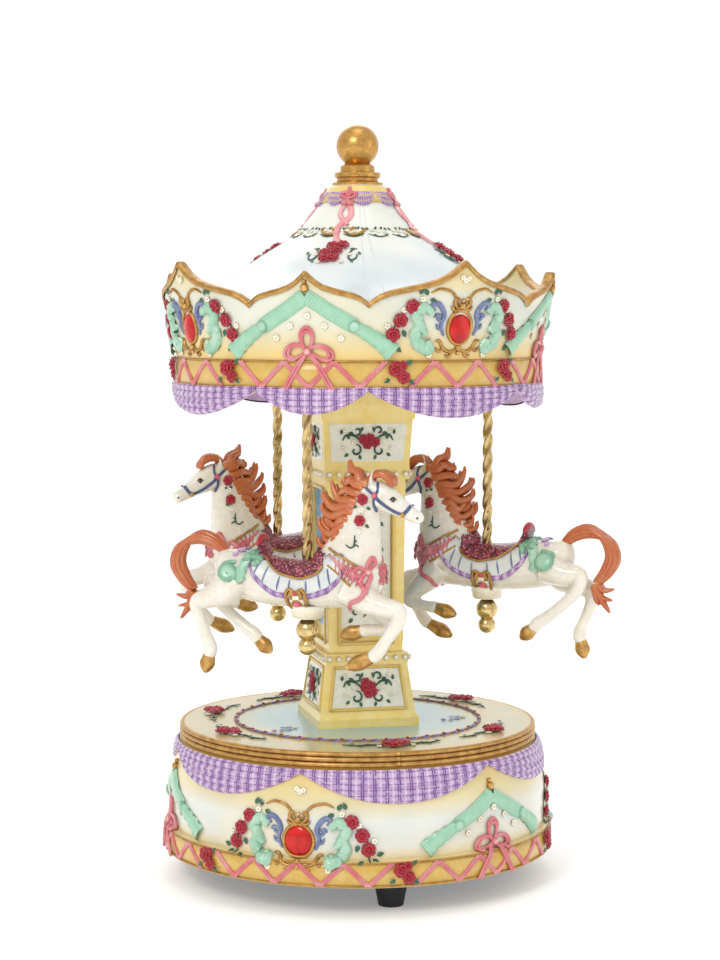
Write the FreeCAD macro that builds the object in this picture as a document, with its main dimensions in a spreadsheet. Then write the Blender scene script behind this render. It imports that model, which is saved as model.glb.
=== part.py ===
"""Carousel music box: three horses on twisted brass rods under a turning canopy, with the movement in the base.

Millimetres, +Z up. The origin is on the spindle's axis, in the plane that the feet stand on; the front is -Y.
Places round the axis are given as turns from the front, counter-clockwise seen from above.
"""
import FreeCAD, Part
import math
import os
import re

import Sketcher

Vec = FreeCAD.Vector
Rot = FreeCAD.Rotation
UP = Vec(0, 0, 1)
ALONG_X = Vec(1, 0, 0)
ORIGIN = Vec(0, 0, 0)

doc = FreeCAD.newDocument("carousel_music_box")
sheet = doc.addObject("Spreadsheet::Sheet", "sizes")

SIZES = {
    # base
    "foot_height": 8.3, "foot_radius": 5.0, "foot_tip_radius": 3.4, "foot_circle": 40.0, "foot_count": 3,
    "base_height": 30.6, "band_radius": 54.4, "band_height": 6.7, "band_step": 1.4, "base_top_radius": 50.5,
    "base_wall": 3.0, "plate_thickness": 2.0, "plate_gap": 0.2,
    "boss_radius": 3.5, "boss_circle": 44.6, "screw_radius": 1.2, "screw_gap": 0.1, "screw_head": 2.3,
    "deck_radius": 49.6, "deck_thickness": 4.6, "spigot_depth": 2.0, "spigot_wall": 2.0,
    # column
    "plinth_side": 28.7, "plinth_height": 3.9, "pedestal_low_side": 26.9, "pedestal_top_side": 23.3,
    "pedestal_height": 13.5, "moulding_side": 23.6, "moulding_height": 3.0,
    "shaft_low_side": 21.0, "shaft_top_side": 22.4, "shaft_height": 48.7, "panel_border": 3.2, "panel_depth": 0.8,
    "necking_side": 24.2, "necking_height": 3.7, "capital_low_side": 24.0, "capital_top_side": 25.6,
    "capital_height": 13.0, "cornice_side": 27.6, "cornice_height": 8.0, "column_bore": 6.0,
    # spindle and bushes
    "spindle_radius": 3.0, "spindle_tip_radius": 2.4, "spindle_flange": 5.0, "flange_height": 2.0,
    "running_gap": 0.06, "bush_radius": 5.2, "bush_flange": 7.0, "bush_depth": 6.0, "bush_lip": 1.0,
    # canopy
    "canopy_gap": 0.5, "ceiling_thickness": 2.6, "rim_radius": 50.9, "rim_band_height": 6.1,
    "rim_flare_radius": 56.0, "rim_height": 32.7, "rim_wall": 2.0, "valley_depth": 11.3, "bow_peak_drop": 3.0,
    "bow_panel_turn": -27.4, "bow_panel_width": 35.0, "panel_count": 4,
    "valance_drop": 6.4, "valance_wall": 1.3, "hub_radius": 6.0,
    "roof_edge_rise": 21.0, "roof_rise": 53.7, "roof_wall": 1.8, "roof_top_radius": 7.0,
    "finial_height": 16.9, "finial_ball": 5.9, "canopy_jewel_long": 4.05, "canopy_jewel_wide": 3.25,
    "canopy_jewel_rise": 14.8, "jewel_depth": 1.3, "base_jewel_long": 4.1, "base_jewel_wide": 3.8,
    "base_jewel_rise": 11.9, "base_jewel_turn": -30.0,
    # horses
    "pole_radius": 1.375, "pole_circle": 37.5, "saddle_height": 95.3, "first_pole_turn": -34.0, "horse_count": 3,
    "swivel_first": 0.0, "swivel_second": 54.0, "swivel_third": -14.0, "horse_bore_gap": 0.05,
    "collar_radius": 3.0, "collar_height": 2.4, "socket_radius": 3.2, "socket_lip": 0.8, "socket_lip_radius": 4.2,
    "pad_side": 8.0, "pad_bottom": 77.2, "big_ball": 3.1, "small_ball": 2.5, "pole_end": 67.6,
    # movement
    "bedplate_thickness": 2.5, "bedplate_left": -19.0, "bedplate_right": 41.5, "bedplate_front": -17.0,
    "bedplate_back": 21.5, "barrel_lift": 2.2, "barrel_radius": 13.0, "barrel_height": 9.0, "barrel_wall": 1.0,
    "barrel_lid": 1.2, "arbor_radius": 2.0, "ratchet_radius": 6.0, "ratchet_teeth": 12, "ratchet_height": 1.2,
    "crown_teeth": 36, "crown_pitch_radius": 12.0, "crown_tooth_height": 1.4, "crown_face": 2.0,
    "pinion_teeth": 12, "tooth_share": 0.34,
    "drum_radius": 6.5, "drum_start": 15.6, "drum_length": 17.0, "pin_height": 0.4, "pin_radius": 0.22,
    "comb_teeth": 18, "comb_gap": 0.15, "comb_thickness": 0.8, "comb_root": 14.5, "comb_back": 20.5,
    "drum_arbor": 1.0, "fine_arbor": 0.8, "post_thickness": 1.2, "post_half_width": 2.4,
    "fine_module": 0.5, "drum_wheel_teeth": 24, "train_pinion_teeth": 8, "worm_wheel_teeth": 20,
    "worm_pitch_radius": 1.3, "wheel_width": 1.0, "vane_radius": 3.0, "vane_height": 1.6,
    "key_half_width": 11.0, "key_thickness": 2.2, "key_floor_gap": 1.2,
}

for row, (name, value) in enumerate(SIZES.items(), start=1):
    sheet.set(f"A{row}", name)
    sheet.set(f"B{row}", str(value))
    sheet.setAlias(f"B{row}", name)
doc.recompute()

# Heights and places that follow from the driving sizes, as formulas in the sheet.
DERIVED = {
    "plate_top": "foot_height + plate_thickness",
    "deck_bottom": "foot_height + base_height",
    "deck_top": "deck_bottom + deck_thickness",
    "plinth_top": "deck_top + plinth_height",
    "pedestal_top": "plinth_top + pedestal_height",
    "shaft_bottom": "pedestal_top + moulding_height",
    "shaft_top": "shaft_bottom + shaft_height",
    "capital_bottom": "shaft_top + necking_height",
    "cornice_bottom": "capital_bottom + capital_height",
    "column_top": "cornice_bottom + cornice_height",
    "ceiling_bottom": "column_top + canopy_gap",
    "rim_bottom": "ceiling_bottom + ceiling_thickness",
    "rim_top": "rim_bottom + rim_height",
    "roof_edge": "rim_bottom + roof_edge_rise",
    "roof_top": "rim_bottom + roof_rise",
    "finial_top": "roof_top + finial_height",
    "shell_inner_radius": "base_top_radius - base_wall",
    "plate_radius": "band_radius - base_wall - plate_gap",
    "bedplate_top": "plate_top + bedplate_thickness",
    "barrel_bottom": "bedplate_top + barrel_lift",
    "lid_bottom": "barrel_bottom + barrel_height",
    "lid_top": "lid_bottom + barrel_lid",
    "drum_pinion_radius": "crown_pitch_radius * pinion_teeth / crown_teeth",
    "drum_axis": "lid_top + crown_tooth_height * 0.57 + drum_pinion_radius",
    "drum_end": "drum_start + drum_length",
    "drum_wheel_radius": "fine_module * drum_wheel_teeth / 2",
    "train_pinion_radius": "fine_module * train_pinion_teeth / 2",
    "worm_wheel_radius": "fine_module * worm_wheel_teeth / 2",
    "train_offset": "drum_wheel_radius + train_pinion_radius",
    "worm_offset": "train_offset + worm_wheel_radius + worm_pitch_radius",
    "drum_wheel_start": "drum_end + 0.6",
    "train_plate_start": "drum_wheel_start + wheel_width + 0.4",
    "worm_wheel_start": "train_plate_start + post_thickness + 0.5",
    "worm_x": "worm_wheel_start + wheel_width / 2",
    "outer_post_start": "worm_wheel_start + wheel_width + 0.6",
    "governor_start": "worm_x + vane_radius + 0.3",
}

for row, (name, formula) in enumerate(DERIVED.items(), start=len(SIZES) + 1):
    sheet.set(f"A{row}", name)
    sheet.set(f"B{row}", "=" + formula)
    sheet.setAlias(f"B{row}", name)
doc.recompute()

KNOWN = set(SIZES) | set(DERIVED)
parts = []


def size(name):
    """The value of one cell of the sheet."""
    return float(getattr(sheet, name))


def cells(formula):
    """A formula in the sheet's words, as an expression that a property can be bound to."""
    return re.sub(r"[a-z]\w*", lambda word: f"sizes.{word[0]}" if word[0] in KNOWN else word[0], formula)


def bind(target, prop, formula):
    target.setExpression(prop, cells(formula))


def place(item, x="0", y="0", z="0"):
    """Bind an object's place to formulas in the sheet's words."""
    for letter, formula in zip("xyz", (x, y, z)):
        bind(item, f"Placement.Base.{letter}", formula)


def keep(item, label):
    """Mark an object as one of the music box's pieces."""
    item.Label = label
    parts.append(item)
    return item


def outline_sketch(body, name, role, points):
    """A closed outline in a body's own plane; each point is a pair of formulas, held to the origin."""
    sketch = body.newObject("Sketcher::SketchObject", name)
    plane = next(f for f in body.Origin.OriginFeatures if f.Role == role)
    sketch.AttachmentSupport = [(plane, "")]
    sketch.MapMode = "FlatFace"
    found = [Vec(value_of(a), value_of(b), 0) for a, b in points]
    for index, start in enumerate(found):
        sketch.addGeometry(Part.LineSegment(start, found[(index + 1) % len(found)]), False)
    for index in range(len(found)):
        follows = (index + 1) % len(found)
        sketch.addConstraint(Sketcher.Constraint("Coincident", index, 2, follows, 1))
    for index, (across, up) in enumerate(points):
        for kind, formula, axis_line in (("DistanceX", across, -2), ("DistanceY", up, -1)):
            if formula == "0":
                sketch.addConstraint(Sketcher.Constraint("PointOnObject", index, 1, axis_line))
                continue
            number = sketch.addConstraint(Sketcher.Constraint(kind, -1, 1, index, 1, value_of(formula)))
            bind(sketch, f"Constraints[{number}]", formula)
    return sketch


def value_of(formula):
    """The present value of a formula in the sheet's words."""
    sheet.set("D1", "=" + cells(formula))
    sheet.recompute()
    return float(sheet.get("D1"))


def turned(label, points):
    """A piece turned about Z from an outline of (radius, height) formulas."""
    body = doc.addObject("PartDesign::Body", label + "_body")
    sketch = outline_sketch(body, label + "_outline", "XZ_Plane", points)
    spin = body.newObject("PartDesign::Revolution", label + "_turn")
    spin.Profile = sketch
    spin.ReferenceAxis = (sketch, ["V_Axis"])
    spin.Angle = 360
    body.Tip = spin
    return body


def padded(label, points, length, z):
    """A flat piece cut from an outline of (x, y) formulas, length thick, with its underside at height z."""
    body = doc.addObject("PartDesign::Body", label + "_body")
    sketch = outline_sketch(body, label + "_outline", "XY_Plane", points)
    pad = body.newObject("PartDesign::Pad", label + "_pad")
    pad.Profile = sketch
    bind(pad, "Length", length)
    body.Tip = pad
    place(body, z=z)
    return body


def rod(name, radius, length, x="0", y="0", z="0", along=None):
    """A plain cylinder, upright or along an axis."""
    item = doc.addObject("Part::Cylinder", name)
    bind(item, "Radius", radius)
    bind(item, "Height", length)
    place(item, x, y, z)
    if along == "x":
        item.Placement.Rotation = Rot(Vec(0, 1, 0), 90)
    return item


def block(name, length, width, height, x, y, z):
    """A plain box with its lowest corner at x, y, z."""
    item = doc.addObject("Part::Box", name)
    bind(item, "Length", length)
    bind(item, "Width", width)
    bind(item, "Height", height)
    place(item, x, y, z)
    return item


def frustum(name, low_side, top_side, height, z):
    """A square block on the axis whose side changes from low_side to top_side."""
    item = doc.addObject("Part::Wedge", name)
    for letter in "XZ":
        bind(item, f"{letter}min", f"0 - ( {low_side} ) / 2")
        bind(item, f"{letter}max", f"( {low_side} ) / 2")
        bind(item, f"{letter}2min", f"0 - ( {top_side} ) / 2")
        bind(item, f"{letter}2max", f"( {top_side} ) / 2")
    item.Ymin = 0
    bind(item, "Ymax", height)
    place(item, z=z)
    item.Placement.Rotation = Rot(ALONG_X, 90)
    return item


def joined(name, pieces):
    item = doc.addObject("Part::MultiFuse", name)
    item.Shapes = pieces
    return item


def cut(name, base, tools):
    """The base with every tool taken away."""
    tool = tools[0] if len(tools) == 1 else joined(name + "_tools", tools)
    item = doc.addObject("Part::Cut", name)
    item.Base = base
    item.Tool = tool
    return item


def shaped(label, shape):
    """A piece whose shape is worked out by Part's own functions from the sheet's sizes."""
    item = doc.addObject("Part::Feature", label + "_shape")
    item.Shape = shape
    return keep(item, label)


def polar(radius, turn):
    """The point at a radius and a turn from the front, on the floor plane."""
    angle = math.radians(turn)
    return Vec(radius * math.sin(angle), -radius * math.cos(angle), 0)


def around(count, first=0.0):
    """Equally spaced turns, starting at the first."""
    return [first + 360.0 / count * index for index in range(int(count))]


def group_of(name, pieces):
    """Several like pieces as one group of separate solids."""
    group = doc.addObject("Part::Compound", name)
    group.Links = pieces
    return group


def polar_formulas(radius, turn):
    return (f"{radius} * sin( {turn:.4f} )", f"0 - {radius} * cos( {turn:.4f} )")


# ---------------------------------------------------------------- base

BOSS_TURNS = around(3, 60.0)


def foot(name, turn):
    x, y = polar_formulas("foot_circle", turn)
    cone = doc.addObject("Part::Cone", name)
    bind(cone, "Radius1", "foot_tip_radius")
    bind(cone, "Radius2", "foot_radius")
    bind(cone, "Height", "foot_height")
    place(cone, x, y)
    return cone


def build_base():
    feet = [foot(f"foot_{index}", turn) for index, turn in enumerate(around(size("foot_count")))]
    keep(group_of("feet_group", feet), "feet")

    shell = turned("shell_wall", [
        ("band_radius - base_wall", "foot_height"),
        ("band_radius", "foot_height"),
        ("band_radius", "foot_height + band_height"),
        ("band_radius - band_step", "foot_height + band_height + 0.6"),
        ("band_radius - band_step", "foot_height + base_height * 0.6"),
        ("base_top_radius", "deck_bottom"),
        ("shell_inner_radius", "deck_bottom"),
        ("band_radius - band_step - base_wall", "foot_height + base_height * 0.6"),
        ("band_radius - band_step - base_wall", "plate_top"),
        ("band_radius - base_wall", "plate_top"),
    ])
    bosses = []
    bores = []
    for index, turn in enumerate(BOSS_TURNS):
        x, y = polar_formulas("boss_circle", turn)
        bosses.append(rod(f"boss_{index}", "boss_radius", "base_height * 0.8", x, y, "plate_top"))
        web_x, web_y = polar_formulas("( boss_circle + boss_radius )", turn)
        bosses.append(rod(f"boss_web_{index}", "boss_radius * 0.6", "base_height * 0.45", web_x, web_y, "plate_top"))
        bores.append(rod(f"boss_bore_{index}", "screw_radius + screw_gap", "10", x, y, "plate_top"))
    whole = joined("shell_with_bosses", [shell] + bosses)
    seats = [jewel_seat(f"base_seat_{index}", turn, "base_jewel") for index, turn in
             enumerate(around(3, size("base_jewel_turn")))]
    keep(cut("base_shell_cut", whole, bores + seats), "base_shell")

    plate = rod("plate_disc", "plate_radius", "plate_thickness", z="foot_height")
    holes = [rod("plate_key_hole", "arbor_radius + 1", "plate_thickness", z="foot_height")]
    screws = []
    for index, turn in enumerate(BOSS_TURNS):
        x, y = polar_formulas("boss_circle", turn)
        holes.append(rod(f"plate_hole_{index}", "screw_radius + screw_gap", "plate_thickness", x, y, "foot_height"))
        shank = rod(f"plate_shank_{index}", "screw_radius", "plate_thickness + 7", x, y, "foot_height")
        head = rod(f"plate_head_{index}", "screw_head", "1.4", x, y, "foot_height - 1.4")
        screws.append(joined(f"plate_screw_{index}", [shank, head]))
    keep(cut("bottom_plate_cut", plate, holes), "bottom_plate")
    keep(group_of("bottom_screw_group", screws), "bottom_plate_screws")

    deck = turned("deck_turned", [
        ("bush_radius", "deck_bottom"),
        ("shell_inner_radius - plate_gap - spigot_wall", "deck_bottom"),
        ("shell_inner_radius - plate_gap - spigot_wall", "deck_bottom - spigot_depth"),
        ("shell_inner_radius - plate_gap", "deck_bottom - spigot_depth"),
        ("shell_inner_radius - plate_gap", "deck_bottom"),
        ("deck_radius", "deck_bottom"),
        ("deck_radius + 0.5", "deck_bottom + deck_thickness * 0.2"),
        ("deck_radius", "deck_bottom + deck_thickness * 0.4"),
        ("deck_radius + 0.3", "deck_bottom + deck_thickness * 0.6"),
        ("deck_radius", "deck_top - 0.4"),
        ("deck_radius - 0.4", "deck_top"),
        ("bush_radius", "deck_top"),
    ])
    keep(deck, "deck_plate")

    keep(turned("lower_bush_turned", [
        ("spindle_radius + running_gap", "deck_bottom - bush_lip"),
        ("bush_flange", "deck_bottom - bush_lip"),
        ("bush_flange", "deck_bottom"),
        ("bush_radius", "deck_bottom"),
        ("bush_radius", "deck_bottom + bush_depth"),
        ("spindle_radius + running_gap", "deck_bottom + bush_depth"),
    ]), "lower_spindle_bush")


def jewel_seat(name, turn, which):
    """The pocket that an oval stone lies in, and the stone's own outline, as an ellipsoid facing outward."""
    stone = doc.addObject("Part::Ellipsoid", name)
    bind(stone, "Radius1", f"{which}_long")
    bind(stone, "Radius2", f"{which}_wide")
    bind(stone, "Radius3", "jewel_depth")
    stone.Angle1 = -90
    stone.Angle2 = 90
    stone.Angle3 = 360
    if which == "base_jewel":
        radius, height = "( band_radius - band_step )", "foot_height + base_jewel_rise"
    else:
        radius, height = "( rim_radius + 1.3 )", "rim_bottom + canopy_jewel_rise"
    x, y = polar_formulas(radius, turn)
    place(stone, x, y, height)
    stone.Placement.Rotation = Rot(UP, turn)
    return stone


# ---------------------------------------------------------------- column

def build_column():
    pedestal = joined("pedestal_whole", [
        frustum("plinth_foot", "plinth_side", "plinth_side", "plinth_height * 0.6", "deck_top"),
        frustum("plinth_slope", "plinth_side", "pedestal_low_side", "plinth_height * 0.4",
                "deck_top + plinth_height * 0.6"),
        frustum("pedestal_taper", "pedestal_low_side", "pedestal_top_side", "pedestal_height", "plinth_top"),
        frustum("pedestal_moulding", "moulding_side", "moulding_side", "moulding_height", "pedestal_top"),
    ])
    bore = rod("pedestal_bore", "column_bore + 1.2", "shaft_bottom - deck_top", z="deck_top")
    keep(cut("pedestal_cut", pedestal, [bore]), "column_pedestal")

    shaft = frustum("shaft_taper", "shaft_low_side", "shaft_top_side", "shaft_height", "shaft_bottom")
    panels = [rod("shaft_bore", "column_bore", "shaft_height", z="shaft_bottom")]
    width = "( shaft_low_side - 2 * panel_border )"
    reach = "( shaft_low_side / 2 - panel_depth + 0.35 )"
    for index, (x, y, length, depth) in enumerate([
        (f"0 - {width} / 2", f"0 - {reach} - 5", width, "5"), (f"0 - {width} / 2", reach, width, "5"),
        (f"0 - {reach} - 5", f"0 - {width} / 2", "5", width), (reach, f"0 - {width} / 2", "5", width),
    ]):
        panels.append(block(f"panel_{index}", length, depth, "shaft_height - 2 * panel_border", x, y,
                            "shaft_bottom + panel_border"))
    keep(cut("shaft_cut", shaft, panels), "column_shaft")

    capital = joined("capital_whole", [
        frustum("capital_necking", "necking_side", "necking_side", "necking_height", "shaft_top"),
        frustum("capital_taper", "capital_low_side", "capital_top_side", "capital_height", "capital_bottom"),
        frustum("cornice_low", "capital_top_side + 0.8", "cornice_side", "cornice_height * 0.5", "cornice_bottom"),
        frustum("cornice_high", "cornice_side + 1", "cornice_side + 1", "cornice_height * 0.5",
                "cornice_bottom + cornice_height * 0.5"),
    ])
    bore = rod("capital_bore", "column_bore", "column_top - shaft_top", z="shaft_top")
    seat = rod("capital_bush_seat", "bush_flange", "bush_lip", z="column_top - bush_lip")
    keep(cut("capital_cut", capital, [bore, seat]), "column_capital")

    keep(turned("upper_bush_turned", [
        ("spindle_radius + running_gap", "column_top - bush_lip - bush_depth"),
        ("column_bore", "column_top - bush_lip - bush_depth"),
        ("column_bore", "column_top - bush_lip"),
        ("bush_flange", "column_top - bush_lip"),
        ("bush_flange", "column_top"),
        ("spindle_radius + running_gap", "column_top"),
    ]), "upper_spindle_bush")


# ---------------------------------------------------------------- canopy

def build_canopy():
    sockets = []
    holes = []
    for index, turn in enumerate(around(size("horse_count"), size("first_pole_turn"))):
        x, y = polar_formulas("pole_circle", turn)
        holes.append(rod(f"socket_hole_{index}", "socket_radius", "ceiling_thickness", x, y, "ceiling_bottom"))
        sleeve = rod(f"socket_sleeve_{index}", "socket_radius", "ceiling_thickness + socket_lip", x, y,
                     "ceiling_bottom - socket_lip")
        lip = rod(f"socket_lip_{index}", "socket_lip_radius", "socket_lip", x, y, "ceiling_bottom - socket_lip")
        way = rod(f"socket_way_{index}", "pole_radius + running_gap", "ceiling_thickness + socket_lip", x, y,
                  "ceiling_bottom - socket_lip")
        sockets.append(cut(f"socket_{index}", joined(f"socket_solid_{index}", [sleeve, lip]), [way]))
    keep(group_of("socket_group", sockets), "pole_sockets")

    disc = rod("ceiling_disc", "rim_radius - rim_wall - 0.1", "ceiling_thickness", z="ceiling_bottom")
    holes.append(rod("ceiling_spindle_hole", "spindle_radius + 0.1", "ceiling_thickness", z="ceiling_bottom"))
    keep(cut("ceiling_cut", disc, holes), "canopy_ceiling")

    keep(turned("hub_turned", [
        ("spindle_radius + 0.1", "rim_bottom"),
        ("hub_radius + 6", "rim_bottom"),
        ("hub_radius + 6", "rim_bottom + 2"),
        ("hub_radius", "rim_bottom + 5"),
        ("hub_radius", "roof_top - roof_wall - 4"),
        ("spindle_radius + 0.1", "roof_top - roof_wall - 4"),
    ]), "canopy_hub")

    wall = turned("rim_turned", [
        ("rim_radius - rim_wall", "ceiling_bottom"),
        ("rim_radius", "ceiling_bottom"),
        ("rim_radius", "rim_bottom + rim_band_height"),
        ("rim_radius + 0.8", "rim_bottom + rim_band_height + 6"),
        ("rim_radius + 2.4", "rim_bottom + rim_band_height + 14"),
        ("rim_flare_radius - 1", "rim_bottom + rim_band_height + 20"),
        ("rim_flare_radius", "rim_top"),
        ("rim_flare_radius - rim_wall", "rim_top"),
        ("rim_flare_radius - rim_wall - 1", "rim_bottom + rim_band_height + 20"),
        ("rim_radius + 2.4 - rim_wall", "rim_bottom + rim_band_height + 14"),
        ("rim_radius + 0.8 - rim_wall", "rim_bottom + rim_band_height + 6"),
        ("rim_radius - rim_wall", "rim_bottom + rim_band_height"),
    ])
    notches = doc.addObject("Part::Feature", "rim_notches")
    notches.Shape = scallop_cutter()
    seats = [jewel_seat(f"rim_seat_{index}", turn, "canopy_jewel") for index, turn in enumerate(jewel_turns())]
    keep(cut("rim_cut", wall, [notches] + seats), "canopy_rim")

    keep(turned("valance_turned", [
        ("rim_radius - valance_wall", "ceiling_bottom - valance_drop"),
        ("rim_radius + 0.2", "ceiling_bottom - valance_drop"),
        ("rim_radius", "ceiling_bottom"),
        ("rim_radius - valance_wall", "ceiling_bottom"),
    ]), "canopy_valance")

    keep(turned("roof_turned", roof_outline()), "canopy_roof")

    stones = [jewel_seat(f"rim_stone_{index}", turn, "canopy_jewel") for index, turn in enumerate(jewel_turns())]
    keep(group_of("rim_stones", stones), "canopy_jewels")
    stones = [jewel_seat(f"base_stone_{index}", turn, "base_jewel")
              for index, turn in enumerate(around(3, size("base_jewel_turn")))]
    keep(group_of("base_stones", stones), "base_jewels")

    finial_body = turned("finial_turned", [
        ("spindle_tip_radius + 0.05", "roof_top"),
        ("roof_top_radius + 0.1", "roof_top"),
        ("roof_top_radius + 0.1", "roof_top + 0.7"),
        ("roof_top_radius - 1.3", "roof_top + 1.2"),
        ("roof_top_radius - 1.3", "roof_top + 2"),
        ("roof_top_radius - 0.6", "roof_top + 2.3"),
        ("roof_top_radius - 0.6", "roof_top + 3.5"),
        ("roof_top_radius - 2.2", "roof_top + 3.8"),
        ("roof_top_radius - 2.2", "roof_top + 5.4"),
        ("roof_top_radius - 3.6", "roof_top + 6.2"),
        ("spindle_tip_radius + 0.05", "roof_top + 6.2"),
    ])
    ball = doc.addObject("Part::Sphere", "finial_ball_whole")
    bind(ball, "Radius", "finial_ball")
    place(ball, z="finial_top - finial_ball")
    way = rod("finial_bore", "spindle_tip_radius + 0.05", "9", z="roof_top")
    keep(cut("finial_cut", joined("finial_whole", [finial_body, ball]), [way]), "finial")


def jewel_turns():
    middle = size("bow_panel_turn") + 180.0 / size("panel_count")
    return around(size("panel_count"), middle)


def roof_outline():
    """The tent: a concave skin of even thickness from the rim up to the finial."""
    outer = [
        ("rim_radius + 0.4", "roof_edge"),
        ("rim_flare_radius * 0.82", "roof_edge + 2.6"),
        ("rim_flare_radius * 0.7", "roof_edge + 5.4"),
        ("rim_flare_radius * 0.593", "roof_edge + 8.8"),
        ("rim_flare_radius * 0.47", "roof_edge + 13.4"),
        ("rim_flare_radius * 0.37", "roof_edge + 16.8"),
        ("rim_flare_radius * 0.3", "roof_edge + 19.4"),
        ("rim_flare_radius * 0.19", "roof_edge + ( roof_top - roof_edge ) * 0.83"),
        ("roof_top_radius", "roof_top"),
    ]
    inner = [("spindle_radius + 0.1", "roof_top"), ("spindle_radius + 0.1", "roof_top - roof_wall * 2")]
    for radius, height in reversed(outer[1:-1]):
        inner.append((f"{radius} - 0.9", f"{height} - roof_wall"))
    inner.append(("rim_radius", "roof_edge - roof_wall"))
    return outer + inner


def scallop_cutter():
    """Everything above the rim's scalloped edge: a notch at each valley, falling from the peaks beside it."""
    top = size("rim_top")
    valley = top - size("valley_depth")
    bow_peak = top - size("bow_peak_drop")
    reach = size("rim_flare_radius")
    half_bow = reach * math.radians(size("bow_panel_width") / 2)
    half_jewel = reach * math.radians(180.0 / size("panel_count") - size("bow_panel_width") / 2)
    notches = []
    for middle in around(size("panel_count"), size("bow_panel_turn")):
        for side in (-1, 1):
            shape_points = [
                (0, valley), (half_bow * 0.25, valley + 3.2), (half_bow * 0.7, bow_peak - 3.0),
                (half_bow, bow_peak), (half_bow, top + 2), (-half_jewel, top + 2), (-half_jewel, top),
                (-half_jewel * 0.7, top - 4.0), (-half_jewel * 0.25, valley + 3.4),
            ]
            points = [Vec(-side * across, -reach * 1.3, up) for across, up in shape_points]
            face = Part.Face(Part.makePolygon(points + points[:1]))
            notch = face.extrude(Vec(0, reach * 0.6, 0))
            notch.rotate(ORIGIN, UP, middle + side * size("bow_panel_width") / 2)
            notches.append(notch)
    return notches[0].multiFuse(notches[1:])


# ---------------------------------------------------------------- spindle and spring barrel

def build_drive():
    keep(turned("spindle_turned", [
        ("0", "lid_top"),
        ("spindle_flange", "lid_top"),
        ("spindle_flange", "lid_top + flange_height"),
        ("spindle_radius", "lid_top + flange_height"),
        ("spindle_radius", "roof_top - 1"),
        ("spindle_tip_radius", "roof_top - 1"),
        ("spindle_tip_radius", "roof_top + 8"),
        ("0", "roof_top + 8"),
    ]), "drive_spindle")

    keep(turned("barrel_turned", [
        ("arbor_radius + running_gap", "barrel_bottom"),
        ("barrel_radius", "barrel_bottom"),
        ("barrel_radius", "lid_bottom"),
        ("barrel_radius - barrel_wall", "lid_bottom"),
        ("barrel_radius - barrel_wall", "barrel_bottom + barrel_wall"),
        ("arbor_radius + running_gap", "barrel_bottom + barrel_wall"),
    ]), "spring_barrel")

    lid = Part.makeCylinder(size("barrel_radius"), size("barrel_lid"), Vec(0, 0, size("lid_bottom")))
    shaped("crown_gear_lid", lid.multiFuse(crown_teeth()))
    shaped("mainspring", spiral_spring())


def crown_teeth():
    """Teeth standing on the barrel's lid, each with straight flanks and a radial face."""
    count = int(size("crown_teeth"))
    pitch = 2 * math.pi * size("crown_pitch_radius") / count
    foot_width = pitch * (size("tooth_share") + 0.12)
    tip_width = pitch * (size("tooth_share") - 0.12)
    height = size("crown_tooth_height")
    inner = size("crown_pitch_radius") - size("crown_face") / 2
    low = size("lid_top") - 0.2
    corners = [(-foot_width / 2, 0), (foot_width / 2, 0),
               (tip_width / 2, height + 0.2), (-tip_width / 2, height + 0.2)]
    points = [Vec(inner, across, low + up) for across, up in corners]
    tooth = Part.Face(Part.makePolygon(points + points[:1])).extrude(Vec(size("crown_face") - 0.05, 0, 0))
    teeth = []
    for index in range(count):
        copy = tooth.copy()
        copy.rotate(ORIGIN, UP, 360.0 / count * index)
        teeth.append(copy)
    return teeth


def spiral_spring():
    """The mainspring: a steel strip wound in the barrel, outer coils against its wall."""
    low = size("barrel_bottom") + size("barrel_wall") + 0.4
    height = size("barrel_height") - size("barrel_wall") - 0.8
    start = size("arbor_radius") + 0.6
    turns = 6.0
    growth = (size("barrel_radius") - size("barrel_wall") - 0.9 - start) / turns
    thickness = 0.5
    steps = 24
    inner = []
    outer = []
    for step in range(int(turns * steps) + 1):
        angle = 2 * math.pi * step / steps
        radius = start + growth * step / steps
        heading = Vec(math.cos(angle), math.sin(angle), 0)
        inner.append(heading * radius + UP * low)
        outer.append(heading * (radius + thickness) + UP * low)
    inside = Part.BSplineCurve()
    inside.interpolate(inner)
    outside = Part.BSplineCurve()
    outside.interpolate(outer)
    ends = [Part.makeLine(inner[-1], outer[-1]), Part.makeLine(outer[0], inner[0])]
    edges = [inside.toShape(), ends[0], outside.toShape(), ends[1]]
    wire = Part.Wire(Part.__sortEdges__(edges))
    return Part.Face(wire).extrude(UP * height)


# ---------------------------------------------------------------- wheels of the movement

def toothed_wheel(count, pitch_radius, width, bore, first=0.0):
    """A spur wheel about X, from x = 0, with one tooth at the first angle from +Y towards +Z."""
    module = 2 * pitch_radius / count
    root = pitch_radius - 1.1 * module
    tip = pitch_radius + 0.78 * module
    step = 2 * math.pi / count
    foot_half = step * (size("tooth_share") + 0.12) / 2
    tip_half = step * (size("tooth_share") - 0.12) / 2
    points = []
    for index in range(int(count)):
        middle = math.radians(first) + step * index
        for radius, offset in ((root, -foot_half), (tip, -tip_half), (tip, tip_half), (root, foot_half)):
            points.append(Vec(0, radius * math.cos(middle + offset), radius * math.sin(middle + offset)))
    face = Part.Face(Part.makePolygon(points + points[:1]))
    wheel = face.extrude(Vec(width, 0, 0))
    return wheel.cut(Part.makeCylinder(bore, width, ORIGIN, ALONG_X)) if bore else wheel


def moved(shape, x, y, z):
    copy = shape.copy()
    copy.translate(Vec(x, y, z))
    return copy


def x_rod(radius, start, end, y, z):
    return Part.makeCylinder(radius, end - start, Vec(start, y, z), ALONG_X)


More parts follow.
